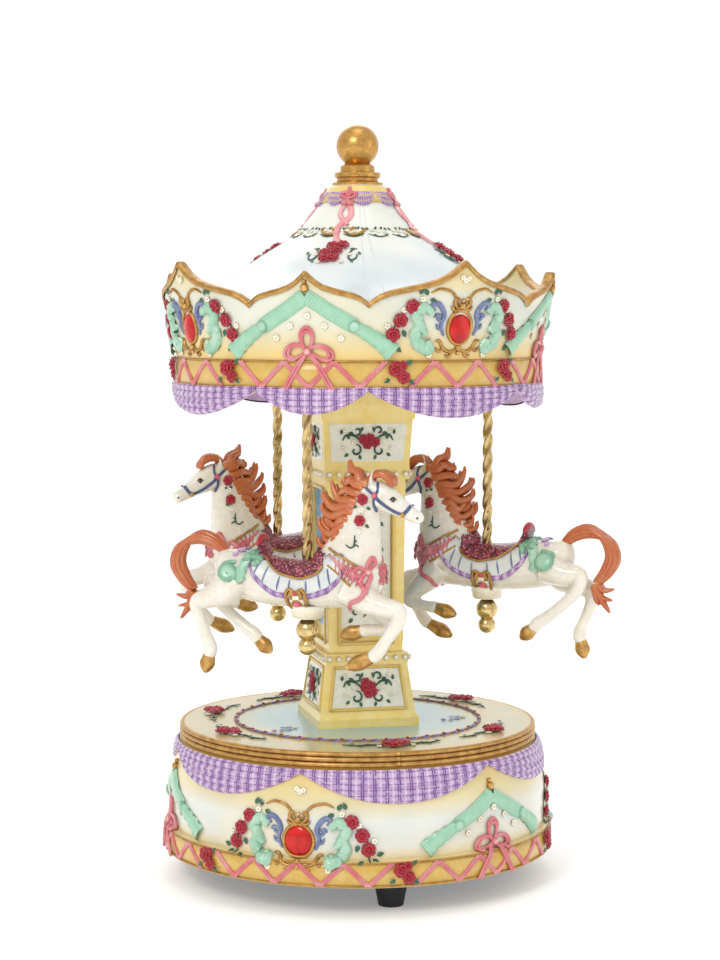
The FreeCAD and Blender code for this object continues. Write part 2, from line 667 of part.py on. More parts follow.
def build_movement():
    axis = size("drum_axis")
    train_y = -size("train_offset")
    worm_y = -size("worm_offset")

    # cast bedplate, on the bottom plate
    bed = padded("bedplate_flat", [
        ("bedplate_left", "bedplate_front"), ("bedplate_right", "bedplate_front"),
        ("bedplate_right", "bedplate_back"), ("bedplate_left", "bedplate_back"),
    ], "bedplate_thickness", "plate_top")
    holes = [rod("bed_arbor_hole", "arbor_radius + running_gap", "bedplate_thickness", z="plate_top")]
    screws = []
    corners = [("bedplate_left + 3", "bedplate_front + 3"), ("bedplate_left + 3", "bedplate_back - 3"),
               ("bedplate_right - 3", "bedplate_back - 3")]
    for index, (x, y) in enumerate(corners):
        holes.append(rod(f"bed_hole_{index}", "screw_radius + screw_gap", "bedplate_thickness", x, y, "plate_top"))
        shank = rod(f"bed_shank_{index}", "screw_radius", "bedplate_thickness", x, y, "plate_top")
        head = rod(f"bed_head_{index}", "screw_head", "1.4", x, y, "bedplate_top")
        screws.append(joined(f"bed_screw_{index}", [shank, head]))
    keep(cut("bedplate_cut", bed, holes), "movement_bedplate")
    keep(group_of("bed_screw_group", screws), "movement_screws")

    # winding arbor, ratchet wheel, click and key
    arbor_low = size("foot_height") - 3.0
    arbor = Part.makeCylinder(size("arbor_radius"), size("lid_bottom") - 0.4 - arbor_low, Vec(0, 0, arbor_low))
    shaped("winding_arbor", arbor)
    ratchet = ratchet_wheel()
    shaped("ratchet_wheel", ratchet)
    shaped("click_spring", click())
    shaped("winding_key", key_shape(arbor_low))

    # pinned drum on its arbor, with a pinion in the crown gear and a wheel at the far end
    bore = size("drum_arbor")
    pinion_start = size("crown_pitch_radius") - size("crown_face") / 2
    pinion = toothed_wheel(size("pinion_teeth"), size("drum_pinion_radius"), size("crown_face"), bore, 270 + 15)
    shaped("drum_pinion", moved(pinion, pinion_start, 0, axis))
    arbor_end = size("train_plate_start") + size("post_thickness")
    shaped("drum_arbor", x_rod(bore, pinion_start - 0.6, arbor_end, 0, axis))
    shaped("music_drum", pinned_drum(axis))
    wheel = toothed_wheel(size("drum_wheel_teeth"), size("drum_wheel_radius"), size("wheel_width"), bore, 180)
    shaped("drum_wheel", moved(wheel, size("drum_wheel_start"), 0, axis))

    # intermediate arbor: a pinion driven by the drum wheel, and the worm wheel
    fine = size("fine_arbor")
    pinion = toothed_wheel(size("train_pinion_teeth"), size("train_pinion_radius"), size("wheel_width"), fine,
                           180.0 / size("train_pinion_teeth"))
    shaped("train_pinion", moved(pinion, size("drum_wheel_start"), train_y, axis))
    end = size("outer_post_start") + size("post_thickness")
    shaped("train_arbor", x_rod(fine, size("drum_wheel_start") - 0.2, end, train_y, axis))
    wheel = toothed_wheel(size("worm_wheel_teeth"), size("worm_wheel_radius"), size("wheel_width"), fine, 180)
    shaped("worm_wheel", moved(wheel, size("worm_wheel_start"), train_y, axis))

    # governor: upright worm with an air vane
    shaped("governor_worm", worm(axis, worm_y))
    vane_low = axis + size("worm_wheel_radius") + 0.9
    vane = Part.makeBox(2 * size("vane_radius") - 0.2, 0.6, size("vane_height"),
                        Vec(size("worm_x") - size("vane_radius") + 0.1, worm_y - 0.3, vane_low))
    hub = Part.makeCylinder(1.3, size("vane_height"), Vec(size("worm_x"), worm_y, vane_low))
    shaped("governor_vane", vane.fuse(hub).cut(Part.makeCylinder(0.8, 9, Vec(size("worm_x"), worm_y, vane_low - 1))))

    # posts and frames that carry the arbors
    posts = []
    gap = size("running_gap")
    inner_x = size("barrel_radius") + 0.6
    posts.append(post(inner_x, -size("post_half_width"), size("post_half_width")))
    plate_x = size("train_plate_start")
    posts.append(post(plate_x, train_y - size("post_half_width"), size("post_half_width")))
    outer_x = size("outer_post_start")
    posts.append(post(outer_x, train_y - 2.0, train_y + 2.0))
    drills = [x_rod(bore + gap, 0, 60, 0, axis), x_rod(fine + gap, 25, 60, train_y, axis)]
    frames = [item.cut(drills[0].fuse(drills[1])) for item in posts]
    shaped("drum_bearing_post", frames[0])
    shaped("train_plate", frames[1])
    shaped("train_outer_post", frames[2])
    shaped("governor_frame", governor_frame(axis, worm_y, vane_low))

    # comb on its cast block
    build_comb(axis)


def ratchet_wheel():
    count = int(size("ratchet_teeth"))
    outer = size("ratchet_radius")
    points = []
    for index in range(count):
        start = 2 * math.pi * index / count
        points.append(Vec(outer * math.cos(start), outer * math.sin(start), 0))
        late = start + 2 * math.pi / count * 0.98
        points.append(Vec((outer - 1.2) * math.cos(late), (outer - 1.2) * math.sin(late), 0))
    wheel = Part.Face(Part.makePolygon(points + points[:1])).extrude(UP * size("ratchet_height"))
    wheel = wheel.cut(Part.makeCylinder(size("arbor_radius"), size("ratchet_height")))
    wheel.translate(Vec(0, 0, size("bedplate_top") + 0.4))
    return wheel


def click():
    """A leaf spring pawl whose tip stands just outside the ratchet's teeth, in the lifted place."""
    low = size("bedplate_top")
    tip = size("ratchet_radius") + 0.15
    leaf = Part.makeBox(0.6, 9.0, size("ratchet_height"), Vec(-tip - 0.6, -9.0, low + 0.4))
    foot_block = Part.makeBox(4.0, 3.0, size("ratchet_height") + 0.4, Vec(-tip - 4.0, -12.0, low))
    return leaf.fuse(foot_block)


def key_shape(arbor_low):
    """The wing key: a socket on the arbor with two round wings, under the base."""
    radius = size("arbor_radius")
    top = size("foot_height") - 0.6
    low = size("key_floor_gap")
    wing = 4.2
    thick = size("key_thickness")
    stem = Part.makeCylinder(radius + 1.4, top - low, Vec(0, 0, low))
    pieces = [stem]
    for side in (-1, 1):
        centre = side * (size("key_half_width") - wing)
        disc = Part.makeCylinder(wing, thick, Vec(centre, thick / 2, low + wing), Vec(0, -1, 0))
        web = Part.makeBox(abs(centre), thick, wing, Vec(min(0, centre), -thick / 2, low + wing / 2))
        hole = Part.makeCylinder(wing * 0.5, thick, Vec(centre, thick / 2, low + wing), Vec(0, -1, 0))
        pieces.append(disc.fuse(web).cut(hole))
    whole = pieces[0].multiFuse(pieces[1:])
    ceiling = Part.makeBox(60, 60, 20, Vec(-30, -30, top))
    return whole.cut(ceiling).cut(Part.makeCylinder(radius, 20, Vec(0, 0, arbor_low)))


def pinned_drum(axis):
    """The brass drum with its pins: each track has two, spread by a fixed step round the drum."""
    start = size("drum_start")
    radius = size("drum_radius")
    bore = size("drum_arbor")
    drum = x_rod(radius, start, size("drum_end"), 0, axis)
    tracks = int(size("comb_teeth"))
    pins = []
    for track in range(tracks):
        x = start + (track + 0.5) * size("drum_length") / tracks
        for repeat in range(2):
            angle = math.radians(track * 137.5 + repeat * 171.0)
            heading = Vec(0, math.cos(angle), math.sin(angle))
            foot_point = Vec(x, 0, axis) + heading * (radius - 0.3)
            pins.append(Part.makeCylinder(size("pin_radius"), size("pin_height") + 0.3, foot_point, heading))
    drum = drum.multiFuse(pins)
    return drum.cut(x_rod(bore, start - 1, size("drum_end") + 1, 0, axis))


# Turn of the worm's thread that puts a gap, not a crest, where the wheel has a tooth.
WORM_PHASE = 270.0


def worm(axis, y):
    """An upright shaft with a one-start right-hand thread level with the worm wheel."""
    pitch = math.pi * size("fine_module")
    root = size("worm_pitch_radius") - 0.5
    tip = size("worm_pitch_radius") + 0.32
    turns = 4
    low = axis - pitch * turns / 2
    shaft_low = size("bedplate_top") + 0.3
    shaft_top = axis + size("worm_wheel_radius") + 0.9 + size("vane_height") + 0.9
    shaft = Part.makeCylinder(root, shaft_top - shaft_low, Vec(0, 0, shaft_low))
    helix = Part.makeHelix(pitch, pitch * turns, root)
    half_foot = pitch * (size("tooth_share") + 0.08) / 2
    half_tip = pitch * (size("tooth_share") - 0.14) / 2
    corners = [Vec(root - 0.1, 0, -half_foot), Vec(tip, 0, -half_tip),
               Vec(tip, 0, half_tip), Vec(root - 0.1, 0, half_foot)]
    profile = Part.makePolygon(corners + corners[:1])
    thread = Part.Wire(helix).makePipeShell([profile], True, True)
    thread.rotate(ORIGIN, UP, WORM_PHASE)
    thread.translate(Vec(0, 0, low))
    whole = shaft.fuse(thread)
    whole.translate(Vec(size("worm_x"), y, 0))
    return whole


def post(x, y_low, y_high):
    low = size("bedplate_top")
    height = size("drum_axis") + 2.4 - low
    return Part.makeBox(size("post_thickness"), y_high - y_low, height, Vec(x, y_low, low))


def governor_frame(axis, worm_y, vane_low):
    """An upright with an arm over the worm's shaft and a step bearing under it."""
    x = size("governor_start")
    low = size("bedplate_top")
    top = vane_low + size("vane_height") + 0.3
    wide = 4.0
    upright = Part.makeBox(1.0, wide, top + 1.0 - low, Vec(x, worm_y - wide / 2, low))
    arm = Part.makeBox(x + 1.0 - size("worm_x") + 1.6, wide, 1.0, Vec(size("worm_x") - 1.6, worm_y - wide / 2, top))
    step = Part.makeBox(x + 1.0 - size("worm_x") + 1.6, wide, 1.2, Vec(size("worm_x") - 1.6, worm_y - wide / 2, low))
    shaft_way = Part.makeCylinder(size("worm_pitch_radius") - 0.5 + size("running_gap"), 60,
                                  Vec(size("worm_x"), worm_y, low + 0.2))
    return upright.fuse(arm).fuse(step).cut(shaft_way)


def build_comb(axis):
    """A toothed steel plate on a cast block, with its two screws."""
    bed_top = size("bedplate_top")
    start = size("drum_start")
    length = size("drum_length")
    tip_y = size("drum_radius") + size("pin_height") + size("comb_gap")
    root_y = size("comb_root")
    back_y = size("comb_back")
    thick = size("comb_thickness")
    low = axis - thick / 2
    plate = Part.makeBox(length + 1, back_y - root_y, thick, Vec(start - 0.5, root_y, low))
    pitch = length / size("comb_teeth")
    teeth = []
    for index in range(int(size("comb_teeth"))):
        x = start + pitch * (index + 0.15)
        teeth.append(Part.makeBox(pitch * 0.7, root_y - tip_y + 0.5, thick * 0.7, Vec(x, tip_y, low + thick * 0.3)))
    comb = plate.multiFuse(teeth)
    block_shape = Part.makeBox(length + 1, back_y - root_y - 0.2, low - bed_top,
                               Vec(start - 0.5, root_y + 0.2, bed_top))
    screws = []
    ways = []
    middle = (root_y + back_y) / 2
    for x in (start + length * 0.2, start + length * 0.8):
        ways.append(Part.makeCylinder(size("screw_radius") + size("screw_gap"), thick + 6, Vec(x, middle, low - 5)))
        shank = Part.makeCylinder(size("screw_radius"), thick + 4.5, Vec(x, middle, low - 4.5))
        screws.append(shank.fuse(Part.makeCylinder(size("screw_head"), 1.2, Vec(x, middle, low + thick))))
    for way in ways:
        comb = comb.cut(way)
        block_shape = block_shape.cut(way)
    shaped("comb", comb)
    shaped("comb_block", block_shape)
    shaped("comb_screws", Part.makeCompound(screws))


# ---------------------------------------------------------------- horses

# Each section is (forward, up, half height or depth, half width, lean): forward from the pole and up from the
# saddle, with the section's plane leaning by that many degrees from upright.
TRUNK = [(-24.6, -4.2, 2.2, 2.0, 0), (-23.0, -4.6, 6.2, 4.6, 0), (-17.5, -6.2, 8.2, 5.9, 0), (-9.0, -8.2, 7.6, 5.7, 0),
         (0.0, -8.6, 7.4, 5.8, 0), (9.0, -7.6, 8.6, 5.7, 0), (16.0, -6.6, 7.8, 4.8, 0), (20.6, -5.6, 4.4, 3.0, 0)]
NECK = [(9.0, -4.5, 9.0, 4.6, 55), (13.0, 2.5, 7.8, 3.9, 50), (16.0, 9.5, 6.2, 3.1, 48), (18.8, 15.5, 4.6, 2.7, 40),
        (20.0, 18.4, 3.4, 2.4, 30)]
HEAD = [(17.2, 17.6, 3.0, 2.3, -10), (20.5, 16.0, 4.2, 2.8, -35), (25.0, 13.6, 3.4, 2.4, -35), (29.0, 10.9, 2.4, 2.0, -35),
        (31.8, 9.4, 1.9, 1.7, -35)]
FORELEGS = [
    (3.0, [(14.0, -9.5, 4.2), (20.5, -12.6, 3.0), (27.0, -15.6, 2.1), (23.8, -21.0, 1.6), (19.6, -26.6, 1.6),
           (14.6, -29.2, 1.9), (12.2, -30.0, 1.6)]),
    (-3.0, [(12.0, -9.5, 4.0), (18.0, -15.0, 2.8), (23.2, -19.6, 2.0), (18.6, -21.2, 1.5), (13.6, -21.6, 1.6),
            (9.2, -22.4, 1.5)]),
]
HINDLEGS = [
    (3.0, [(-18.0, -7.0, 5.4), (-24.5, -10.8, 4.0), (-31.0, -14.6, 2.5), (-28.4, -21.0, 1.7), (-27.0, -26.6, 1.6),
           (-28.2, -31.0, 1.8), (-29.2, -33.4, 1.5)]),
    (-3.0, [(-18.0, -7.0, 5.2), (-24.8, -9.6, 3.6), (-29.0, -11.0, 2.4), (-23.6, -18.0, 1.7), (-18.6, -23.4, 1.6),
            (-14.2, -26.6, 1.8), (-12.0, -28.2, 1.5)]),
]
TAIL = [(-22.5, -2.0, 1.4), (-26.0, 0.2, 1.6), (-31.5, 1.4, 2.1), (-36.0, -1.4, 2.5), (-38.0, -6.4, 2.7),
        (-36.4, -12.0, 2.4), (-37.0, -17.4, 1.8), (-38.8, -21.0, 0.9)]
MANE = [(18.8, 19.6, 2.0), (13.4, 18.6, 2.6), (9.4, 13.6, 2.9), (7.6, 7.6, 2.9), (6.0, 2.6, 2.2)]


def oval(forward, up, tall, wide, lean, side=0.0):
    """An oval wire across the horse's length; lean turns its plane about the horse's side to side line."""
    ellipse = Part.Ellipse(ORIGIN, max(tall, wide), min(tall, wide))
    wire = Part.Wire(ellipse.toShape())
    upright = Rot(Vec(0, 1, 0), 90)
    first = Rot() if tall >= wide else Rot(UP, 90)
    # the ellipse's long side is turned from forward to up, then the whole section leans back
    turn = Rot(Vec(0, 1, 0), -lean).multiply(upright).multiply(first)
    wire.Placement = FreeCAD.Placement(Vec(forward, side, up), turn)
    return wire


def limb(points, side=0.0):
    """A tapering round limb through points of (forward, up, radius), every section square to its path."""
    wires = []
    for index, (forward, up, radius) in enumerate(points):
        before = points[max(index - 1, 0)]
        after = points[min(index + 1, len(points) - 1)]
        heading = Vec(after[0] - before[0], 0, after[1] - before[1])
        wires.append(Part.Wire(Part.makeCircle(radius, Vec(forward, side, up), heading)))
    return Part.makeLoft(wires, True, True)


def horse_solid():
    """One horse, heading +X, with the pole's axis on Z and the saddle at the origin."""
    trunk = Part.makeLoft([oval(*section) for section in TRUNK], True, False)
    neck = Part.makeLoft([oval(*section) for section in NECK], True, False)
    head = Part.makeLoft([oval(*section) for section in HEAD], True, False)
    pieces = [neck, head, limb(TAIL), limb(MANE)]
    for side, points in FORELEGS + HINDLEGS:
        pieces.append(limb(points, side))
    ears = [Part.makeCone(1.1, 0.3, 3.6, Vec(19.4, side, 18.6), Vec(0.1, side * 0.05, 1)) for side in (-1.3, 1.3)]
    saddle = Part.makeLoft([oval(forward, up, 1.3, wide, 0) for forward, up, wide in
                            ((-13.0, 0.2, 4.0), (-9.0, -0.9, 5.0), (0.0, -1.6, 5.2), (4.6, -0.6, 4.6), (6.4, 0.6, 3.4))],
                           True, False)
    half = size("pad_side") / 2
    drop = size("saddle_height") - size("pad_bottom")
    pad = Part.makeBox(2 * half, 2 * half, 4.0, Vec(-half, -half, -drop))
    whole = trunk.multiFuse(pieces + ears + [saddle, pad])
    bore = Part.makeCylinder(size("pole_radius") + size("horse_bore_gap"), 80, Vec(0, 0, -50))
    return whole.cut(bore)


def build_horses():
    horse = horse_solid()
    swivels = [size("swivel_first"), size("swivel_second"), size("swivel_third")]
    turns = around(size("horse_count"), size("first_pole_turn"))
    for number, (turn, swivel) in enumerate(zip(turns, swivels), start=1):
        spot = polar(size("pole_circle"), turn)
        x, y = polar_formulas("pole_circle", turn)
        piece = shaped(f"horse_{number}", horse)
        piece.Placement = FreeCAD.Placement(spot + UP * size("saddle_height"), Rot(UP, turn + swivel))
        shank = rod(f"pole_shank_{number}", "pole_radius", "rim_bottom + collar_height - pole_end", x, y, "pole_end")
        keep(shank, f"pole_{number}")
        collar = rod(f"collar_ring_{number}", "collar_radius", "collar_height", x, y, "rim_bottom + 0.1")
        way = rod(f"collar_way_{number}", "pole_radius", "collar_height", x, y, "rim_bottom + 0.1")
        keep(cut(f"collar_cut_{number}", collar, [way]), f"pole_collar_{number}")
        balls = Part.makeSphere(size("big_ball"), Vec(0, 0, size("pad_bottom") - size("big_ball")))
        low_centre = size("pole_end") + size("small_ball") - 0.5
        balls = balls.fuse(Part.makeSphere(size("small_ball"), Vec(0, 0, low_centre)))
        balls = balls.cut(Part.makeCylinder(size("pole_radius"), 30, Vec(0, 0, size("pole_end"))))
        nut = shaped(f"pole_balls_{number}", balls)
        nut.Placement = FreeCAD.Placement(spot, Rot())


# ---------------------------------------------------------------- build, test and write

build_base()
build_column()
build_canopy()
build_drive()
build_movement()
build_horses()
doc.recompute()

for item in doc.Objects:
    broken = [state for state in item.State if state in ("Invalid", "Error")]
    if broken:
        raise RuntimeError(f"{item.Label} failed: {broken}")

os.makedirs("parts", exist_ok=True)
for item in parts:
    if item.Shape.isNull() or not item.Shape.isValid():
        raise RuntimeError(f"{item.Label} has no valid shape")
    item.Shape.exportStep(f"parts/{item.Label}.step")
    print(f"{item.Label}: {len(item.Shape.Solids)} solid(s), {item.Shape.Volume:.1f} mm3")
print(len(parts), "nodes")
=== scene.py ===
import math
import random

import bpy
import numpy as np
from mathutils import Matrix, Vector
from mathutils.bvhtree import BVHTree


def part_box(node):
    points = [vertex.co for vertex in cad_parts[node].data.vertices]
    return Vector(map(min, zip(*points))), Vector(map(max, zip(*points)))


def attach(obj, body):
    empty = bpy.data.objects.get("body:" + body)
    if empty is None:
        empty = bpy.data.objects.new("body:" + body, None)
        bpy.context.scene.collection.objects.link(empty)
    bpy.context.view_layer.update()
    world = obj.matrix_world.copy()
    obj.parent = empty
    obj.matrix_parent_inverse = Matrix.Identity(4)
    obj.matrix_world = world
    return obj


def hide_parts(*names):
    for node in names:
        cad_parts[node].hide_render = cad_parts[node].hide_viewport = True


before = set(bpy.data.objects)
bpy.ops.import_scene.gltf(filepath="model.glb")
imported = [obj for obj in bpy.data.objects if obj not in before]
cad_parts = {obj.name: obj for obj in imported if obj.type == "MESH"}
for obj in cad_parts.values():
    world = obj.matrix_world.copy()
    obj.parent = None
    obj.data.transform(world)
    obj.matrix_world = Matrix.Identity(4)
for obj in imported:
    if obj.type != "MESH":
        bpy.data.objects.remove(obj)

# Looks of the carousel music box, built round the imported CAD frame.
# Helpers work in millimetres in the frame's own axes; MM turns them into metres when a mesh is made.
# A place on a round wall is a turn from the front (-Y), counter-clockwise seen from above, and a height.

MM = 0.001
UP = Vector((0, 0, 1))

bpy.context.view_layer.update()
random.seed(18)


def box_mm(node):
    low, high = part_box(node)
    return Vector(low) / MM, Vector(high) / MM


# ---------------------------------------------------------------- mesh helpers

class Shell:
    """Collects points and faces in millimetres, then makes one mesh object from them."""

    def __init__(self):
        self.points = []
        self.faces = []
        self.weave = []

    def add(self, points, faces, weave=None):
        start = len(self.points)
        self.points.extend(points)
        self.faces.extend([tuple(start + index for index in face) for face in faces])
        self.weave.extend(weave if weave else [(0.0, 0.0)] * len(points))

    def merge(self, other, matrix):
        self.add([matrix @ point for point in other.points], other.faces, other.weave)

    def make(self, name, material, body, slot, smooth=True):
        mesh = bpy.data.meshes.new(name)
        mesh.from_pydata([tuple(Vector(point) * MM) for point in self.points], [], self.faces)
        mesh.validate()
        if any(pair != (0.0, 0.0) for pair in self.weave):
            layer = mesh.attributes.new("weave", "FLOAT_VECTOR", "POINT")
            layer.data.foreach_set("vector", [value for u, v in self.weave for value in (u, v, 0.0)])
        piece = bpy.data.objects.new(name, mesh)
        bpy.context.scene.collection.objects.link(piece)
        mesh.shade_smooth() if smooth else None
        mesh.materials.append(material)
        if body:
            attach(piece, body)
        return piece


def grid_faces(rows, columns, closed_columns=False, closed_rows=False):
    """Quads over a grid of points laid row by row."""
    faces = []
    for row in range(rows if closed_rows else rows - 1):
        below = (row + 1) % rows
        for column in range(columns if closed_columns else columns - 1):
            beside = (column + 1) % columns
            faces.append((row * columns + column, row * columns + beside, below * columns + beside,
                          below * columns + column))
    return faces


def blended(knots, steps):
    """A Catmull-Rom curve through vectors or rows of numbers."""
    path = []
    for index in range(len(knots) - 1):
        before = knots[max(index - 1, 0)]
        start, end = knots[index], knots[index + 1]
        after = knots[min(index + 2, len(knots) - 1)]
        for step in range(steps):
            t = step / steps
            path.append(0.5 * (2 * start + (end - before) * t
                               + (2 * before - 5 * start + 4 * end - after) * t * t
                               + (3 * start - before - 3 * end + after) * t ** 3))
    path.append(knots[-1])
    return path


def smooth_path(points, steps=6):
    return blended([Vector(point) for point in points], steps)


def tube(shell, path, radius, sides=8, flat=1.0, normals=None, taper=None):
    """A closed tube along a path; flat squeezes it along the normals, taper gives each point's radius share."""
    count = len(path)
    points = []
    side = None
    for index, centre in enumerate(path):
        heading = (path[min(index + 1, count - 1)] - path[max(index - 1, 0)]).normalized()
        if normals:
            out = normals[index] if isinstance(normals, list) else normals
        else:
            out = side.cross(heading) if side else (UP if abs(heading.z) < 0.9 else Vector((1, 0, 0)))
        side = heading.cross(out).normalized()
        out = side.cross(heading).normalized()
        share = taper(index / (count - 1)) if taper else 1.0
        for step in range(sides):
            angle = 2 * math.pi * step / sides
            points.append(centre + (side * math.cos(angle) + out * math.sin(angle) * flat) * radius * share)
    faces = grid_faces(count, sides, closed_columns=True)
    faces.append(tuple(range(sides)))
    faces.append(tuple(range((count - 1) * sides, count * sides))[::-1])
    shell.add(points, faces, [(index // sides, index % sides) for index in range(len(points))])


def pointed(t, root=0.35):
    """Full in the middle, narrow at both ends."""
    return root + (1 - root) * math.sin(math.pi * min(max(t, 0.0), 1.0)) ** 0.7


def ribbon(shell, path, normals, width, lift=0.35, rows=7, frill=0.0):
    """A band of ribbon on a surface: its middle is lifted, its two edges lie on the surface."""
    points = []
    weave = []
    count = len(path)
    run = 0.0
    for index, centre in enumerate(path):
        heading = (path[min(index + 1, count - 1)] - path[max(index - 1, 0)]).normalized()
        out = normals[index].normalized()
        side = heading.cross(out).normalized()
        run += (path[index] - path[index - 1]).length if index else 0.0
        broad = width[index] if isinstance(width, list) else width
        for row in range(rows):
            across = row / (rows - 1) * 2 - 1
            rise = lift * (1 - abs(across) ** 4) + frill * math.sin(run * 2.2) * abs(across)
            points.append(centre + side * across * broad / 2 + out * (rise - 0.12))
            weave.append((run / 2.0, across * broad / 4.0 + 3))
    shell.add(points, grid_faces(count, rows), weave)


def ball(shell, centre, radius, squash=1.0, out=UP, rings=6, sides=10):
    turn = out.to_track_quat("Z", "Y").to_matrix()
    points = []
    for ring in range(rings + 1):
        down = math.pi * ring / rings
        for step in range(sides):
            angle = 2 * math.pi * step / sides
            local = Vector((math.sin(down) * math.cos(angle), math.sin(down) * math.sin(angle),
                            math.cos(down) * squash))
            points.append(centre + turn @ (local * radius))
    shell.add(points, grid_faces(rings + 1, sides, closed_columns=True))


def facing(centre, out, spin=0.0, scale=1.0):
    """A matrix that stands a flat template (its face towards +Z) on a surface."""
    out = out.normalized()
    right = UP.cross(out)
    right = right.normalized() if right.length > 0.05 else Vector((1, 0, 0))
    upward = out.cross(right).normalized()
    basis = Matrix((right, upward, out)).transposed().to_4x4()
    return Matrix.Translation(centre) @ basis @ Matrix.Rotation(spin, 4, "Z") @ Matrix.Scale(scale, 4)


def petal(shell, reach, width, lean, turn, base=0.0, curl=0.3, rows=5, columns=5):
    """One cupped petal rising from the centre, leaning out by lean radians and curling at its lip."""
    points = []
    for row in range(rows):
        along = row / (rows - 1)
        angle = lean + curl * along * along * 2
        out = base + reach * along * math.sin(angle)
        rise = reach * along * math.cos(angle)
        for column in range(columns):
            across = column / (columns - 1) * 2 - 1
            spread = across * width * math.sin(math.pi * (0.15 + 0.62 * along)) ** 0.8
            cup = abs(across) ** 2 * 0.35 * reach * 0.4
            bend = spread / max(out + 0.35 * reach, 0.2)
            local = Vector(((out - cup * 0.3 + 0.0) * math.cos(bend), (out + 0.35 * reach) * math.sin(bend),
                            rise + cup * 0.4))
            points.append(Matrix.Rotation(turn, 3, "Z") @ local)
    shell.add(points, grid_faces(rows, columns))


def rose_template():
    """A small moulded rose of unit radius: a spiral bud inside two rings of petals with rolled rims."""
    shell = Shell()
    spiral = [Vector((0.42 * (1 - share) * math.cos(9 * share), 0.42 * (1 - share) * math.sin(9 * share),
                      0.42 + 0.26 * share)) for share in [step / 16 for step in range(17)]]
    tube(shell, spiral, 0.15, 6)
    ball(shell, Vector((0, 0, 0.16)), 0.5, 0.6)
    for count, reach, rise, half, start in ((5, 0.66, 0.34, 0.52, 0.0), (6, 0.98, 0.08, 0.46, 0.5)):
        for index in range(count):
            turn = 2 * math.pi * (index + start) / count
            swings = [half * step / 3 for step in range(-3, 4)]
            arc = [Vector((reach * math.cos(turn + swing), reach * math.sin(turn + swing),
                           rise + 0.16 * math.cos(swing * 2.4))) for swing in swings]
            tube(shell, arc, 0.19, 6, taper=lambda t: 0.55 + 0.45 * math.sin(math.pi * t))
            petal(shell, reach * 0.94, 0.56, 0.5 + 0.4 * start, turn, rise * 0.2, curl=0.2)
    return shell


def blossom_template():
    """Five round petals of a white flower, unit radius, and its middle as a separate shell."""
    petals = Shell()
    for index in range(5):
        turn = 2 * math.pi * index / 5
        heading = Vector((math.cos(turn), math.sin(turn), 0))
        ball(petals, heading * 0.55 + UP * 0.12, 0.46, 0.5, rings=5, sides=8)
    middle = Shell()
    ball(middle, Vector((0, 0, 0.25)), 0.26, 0.8, rings=5, sides=8)
    return petals, middle


def leaf_template():
    """A pointed leaf of unit length along +X, with a raised midrib."""
    shell = Shell()
    points = []
    for row in range(7):
        along = row / 6
        half = 0.3 * math.sin(math.pi * along ** 0.8) + 0.01
        for across in (-1, -0.5, 0, 0.5, 1):
            points.append(Vector((along, across * half,
                                  0.1 + 0.14 * (1 - abs(across)) * math.sin(math.pi * along))))
    shell.add(points, grid_faces(7, 5))
    return shell


ROSE = rose_template()
BLOSSOM, BLOSSOM_MIDDLE = blossom_template()
LEAF = leaf_template()


class Trim:
    """The relief ornament of one body, gathered colour by colour."""

    def __init__(self, body):
        self.body = body
        self.shells = {}

    def __getitem__(self, colour):
        return self.shells.setdefault(colour, Shell())

    def rose(self, centre, out, radius, colour="crimson"):
        self[colour].merge(ROSE, facing(centre, out, random.uniform(0, 6.28), radius))

    def blossom(self, centre, out, radius, colour="white"):
        place = facing(centre, out, random.uniform(0, 6.28), radius)
        self[colour].merge(BLOSSOM, place)
        self["amber_dot"].merge(BLOSSOM_MIDDLE, place)

    def leaf(self, centre, out, length, spin, colour="leaf_green"):
        self[colour].merge(LEAF, facing(centre, out, spin, length))

    def make(self, prefix, finish):
        for colour, shell in sorted(self.shells.items()):
            if shell.points:
                material, slot = finish[colour]
                shell.make(f"{prefix}_{colour}", material, self.body, slot)


# ---------------------------------------------------------------- materials

def new_material(name, color, roughness, metallic=0.0, coat=0.0, sss=0.0, specular=0.5):
    """A principled material; what is the same all over is set on the shader's own sockets."""
    material = bpy.data.materials.new(name)
    material.use_nodes = True
    shader = material.node_tree.nodes["Principled BSDF"]
    shader.inputs["Base Color"].default_value = (*color, 1)
    shader.inputs["Roughness"].default_value = roughness
    shader.inputs["Metallic"].default_value = metallic
    shader.inputs["Coat Weight"].default_value = coat
    shader.inputs["Coat Roughness"].default_value = 0.12
    shader.inputs["Specular IOR Level"].default_value = specular
    if sss:
        shader.inputs["Subsurface Weight"].default_value = sss
        shader.inputs["Subsurface Radius"].default_value = (0.004, 0.0025, 0.0015)
        shader.inputs["Subsurface Scale"].default_value = 0.5
    return material, shader


def node(material, kind, **values):
    made = material.node_tree.nodes.new(kind)
    for key, value in values.items():
        if hasattr(made, key):
            setattr(made, key, value)
        else:
            made.inputs[key.replace("_", " ")].default_value = value
    return made


def link(material, start, end):
    material.node_tree.links.new(start, end)


def noise(material, scale, detail=3.0, rough=0.5, stretch=None):
    """Noise in the object's own metres; stretch lengthens its grain along an axis."""
    place = node(material, "ShaderNodeTexCoord")
    source = place.outputs["Object"]
    if stretch:
        mapping = node(material, "ShaderNodeMapping")
        mapping.inputs["Scale"].default_value = stretch
        link(material, source, mapping.inputs["Vector"])
        source = mapping.outputs["Vector"]
    made = node(material, "ShaderNodeTexNoise", Scale=scale, Detail=detail, Roughness=rough)
    link(material, source, made.inputs["Vector"])
    return made.outputs["Fac"]


def ramp(material, source, stops):
    made = node(material, "ShaderNodeValToRGB")
    elements = made.color_ramp.elements
    while len(elements) < len(stops):
        elements.new(0.5)
    for element, (place, color) in zip(elements, stops):
        element.position = place
        element.color = (*color, 1) if len(color) == 3 else color
    link(material, source, made.inputs["Fac"])
    return made.outputs["Color"]


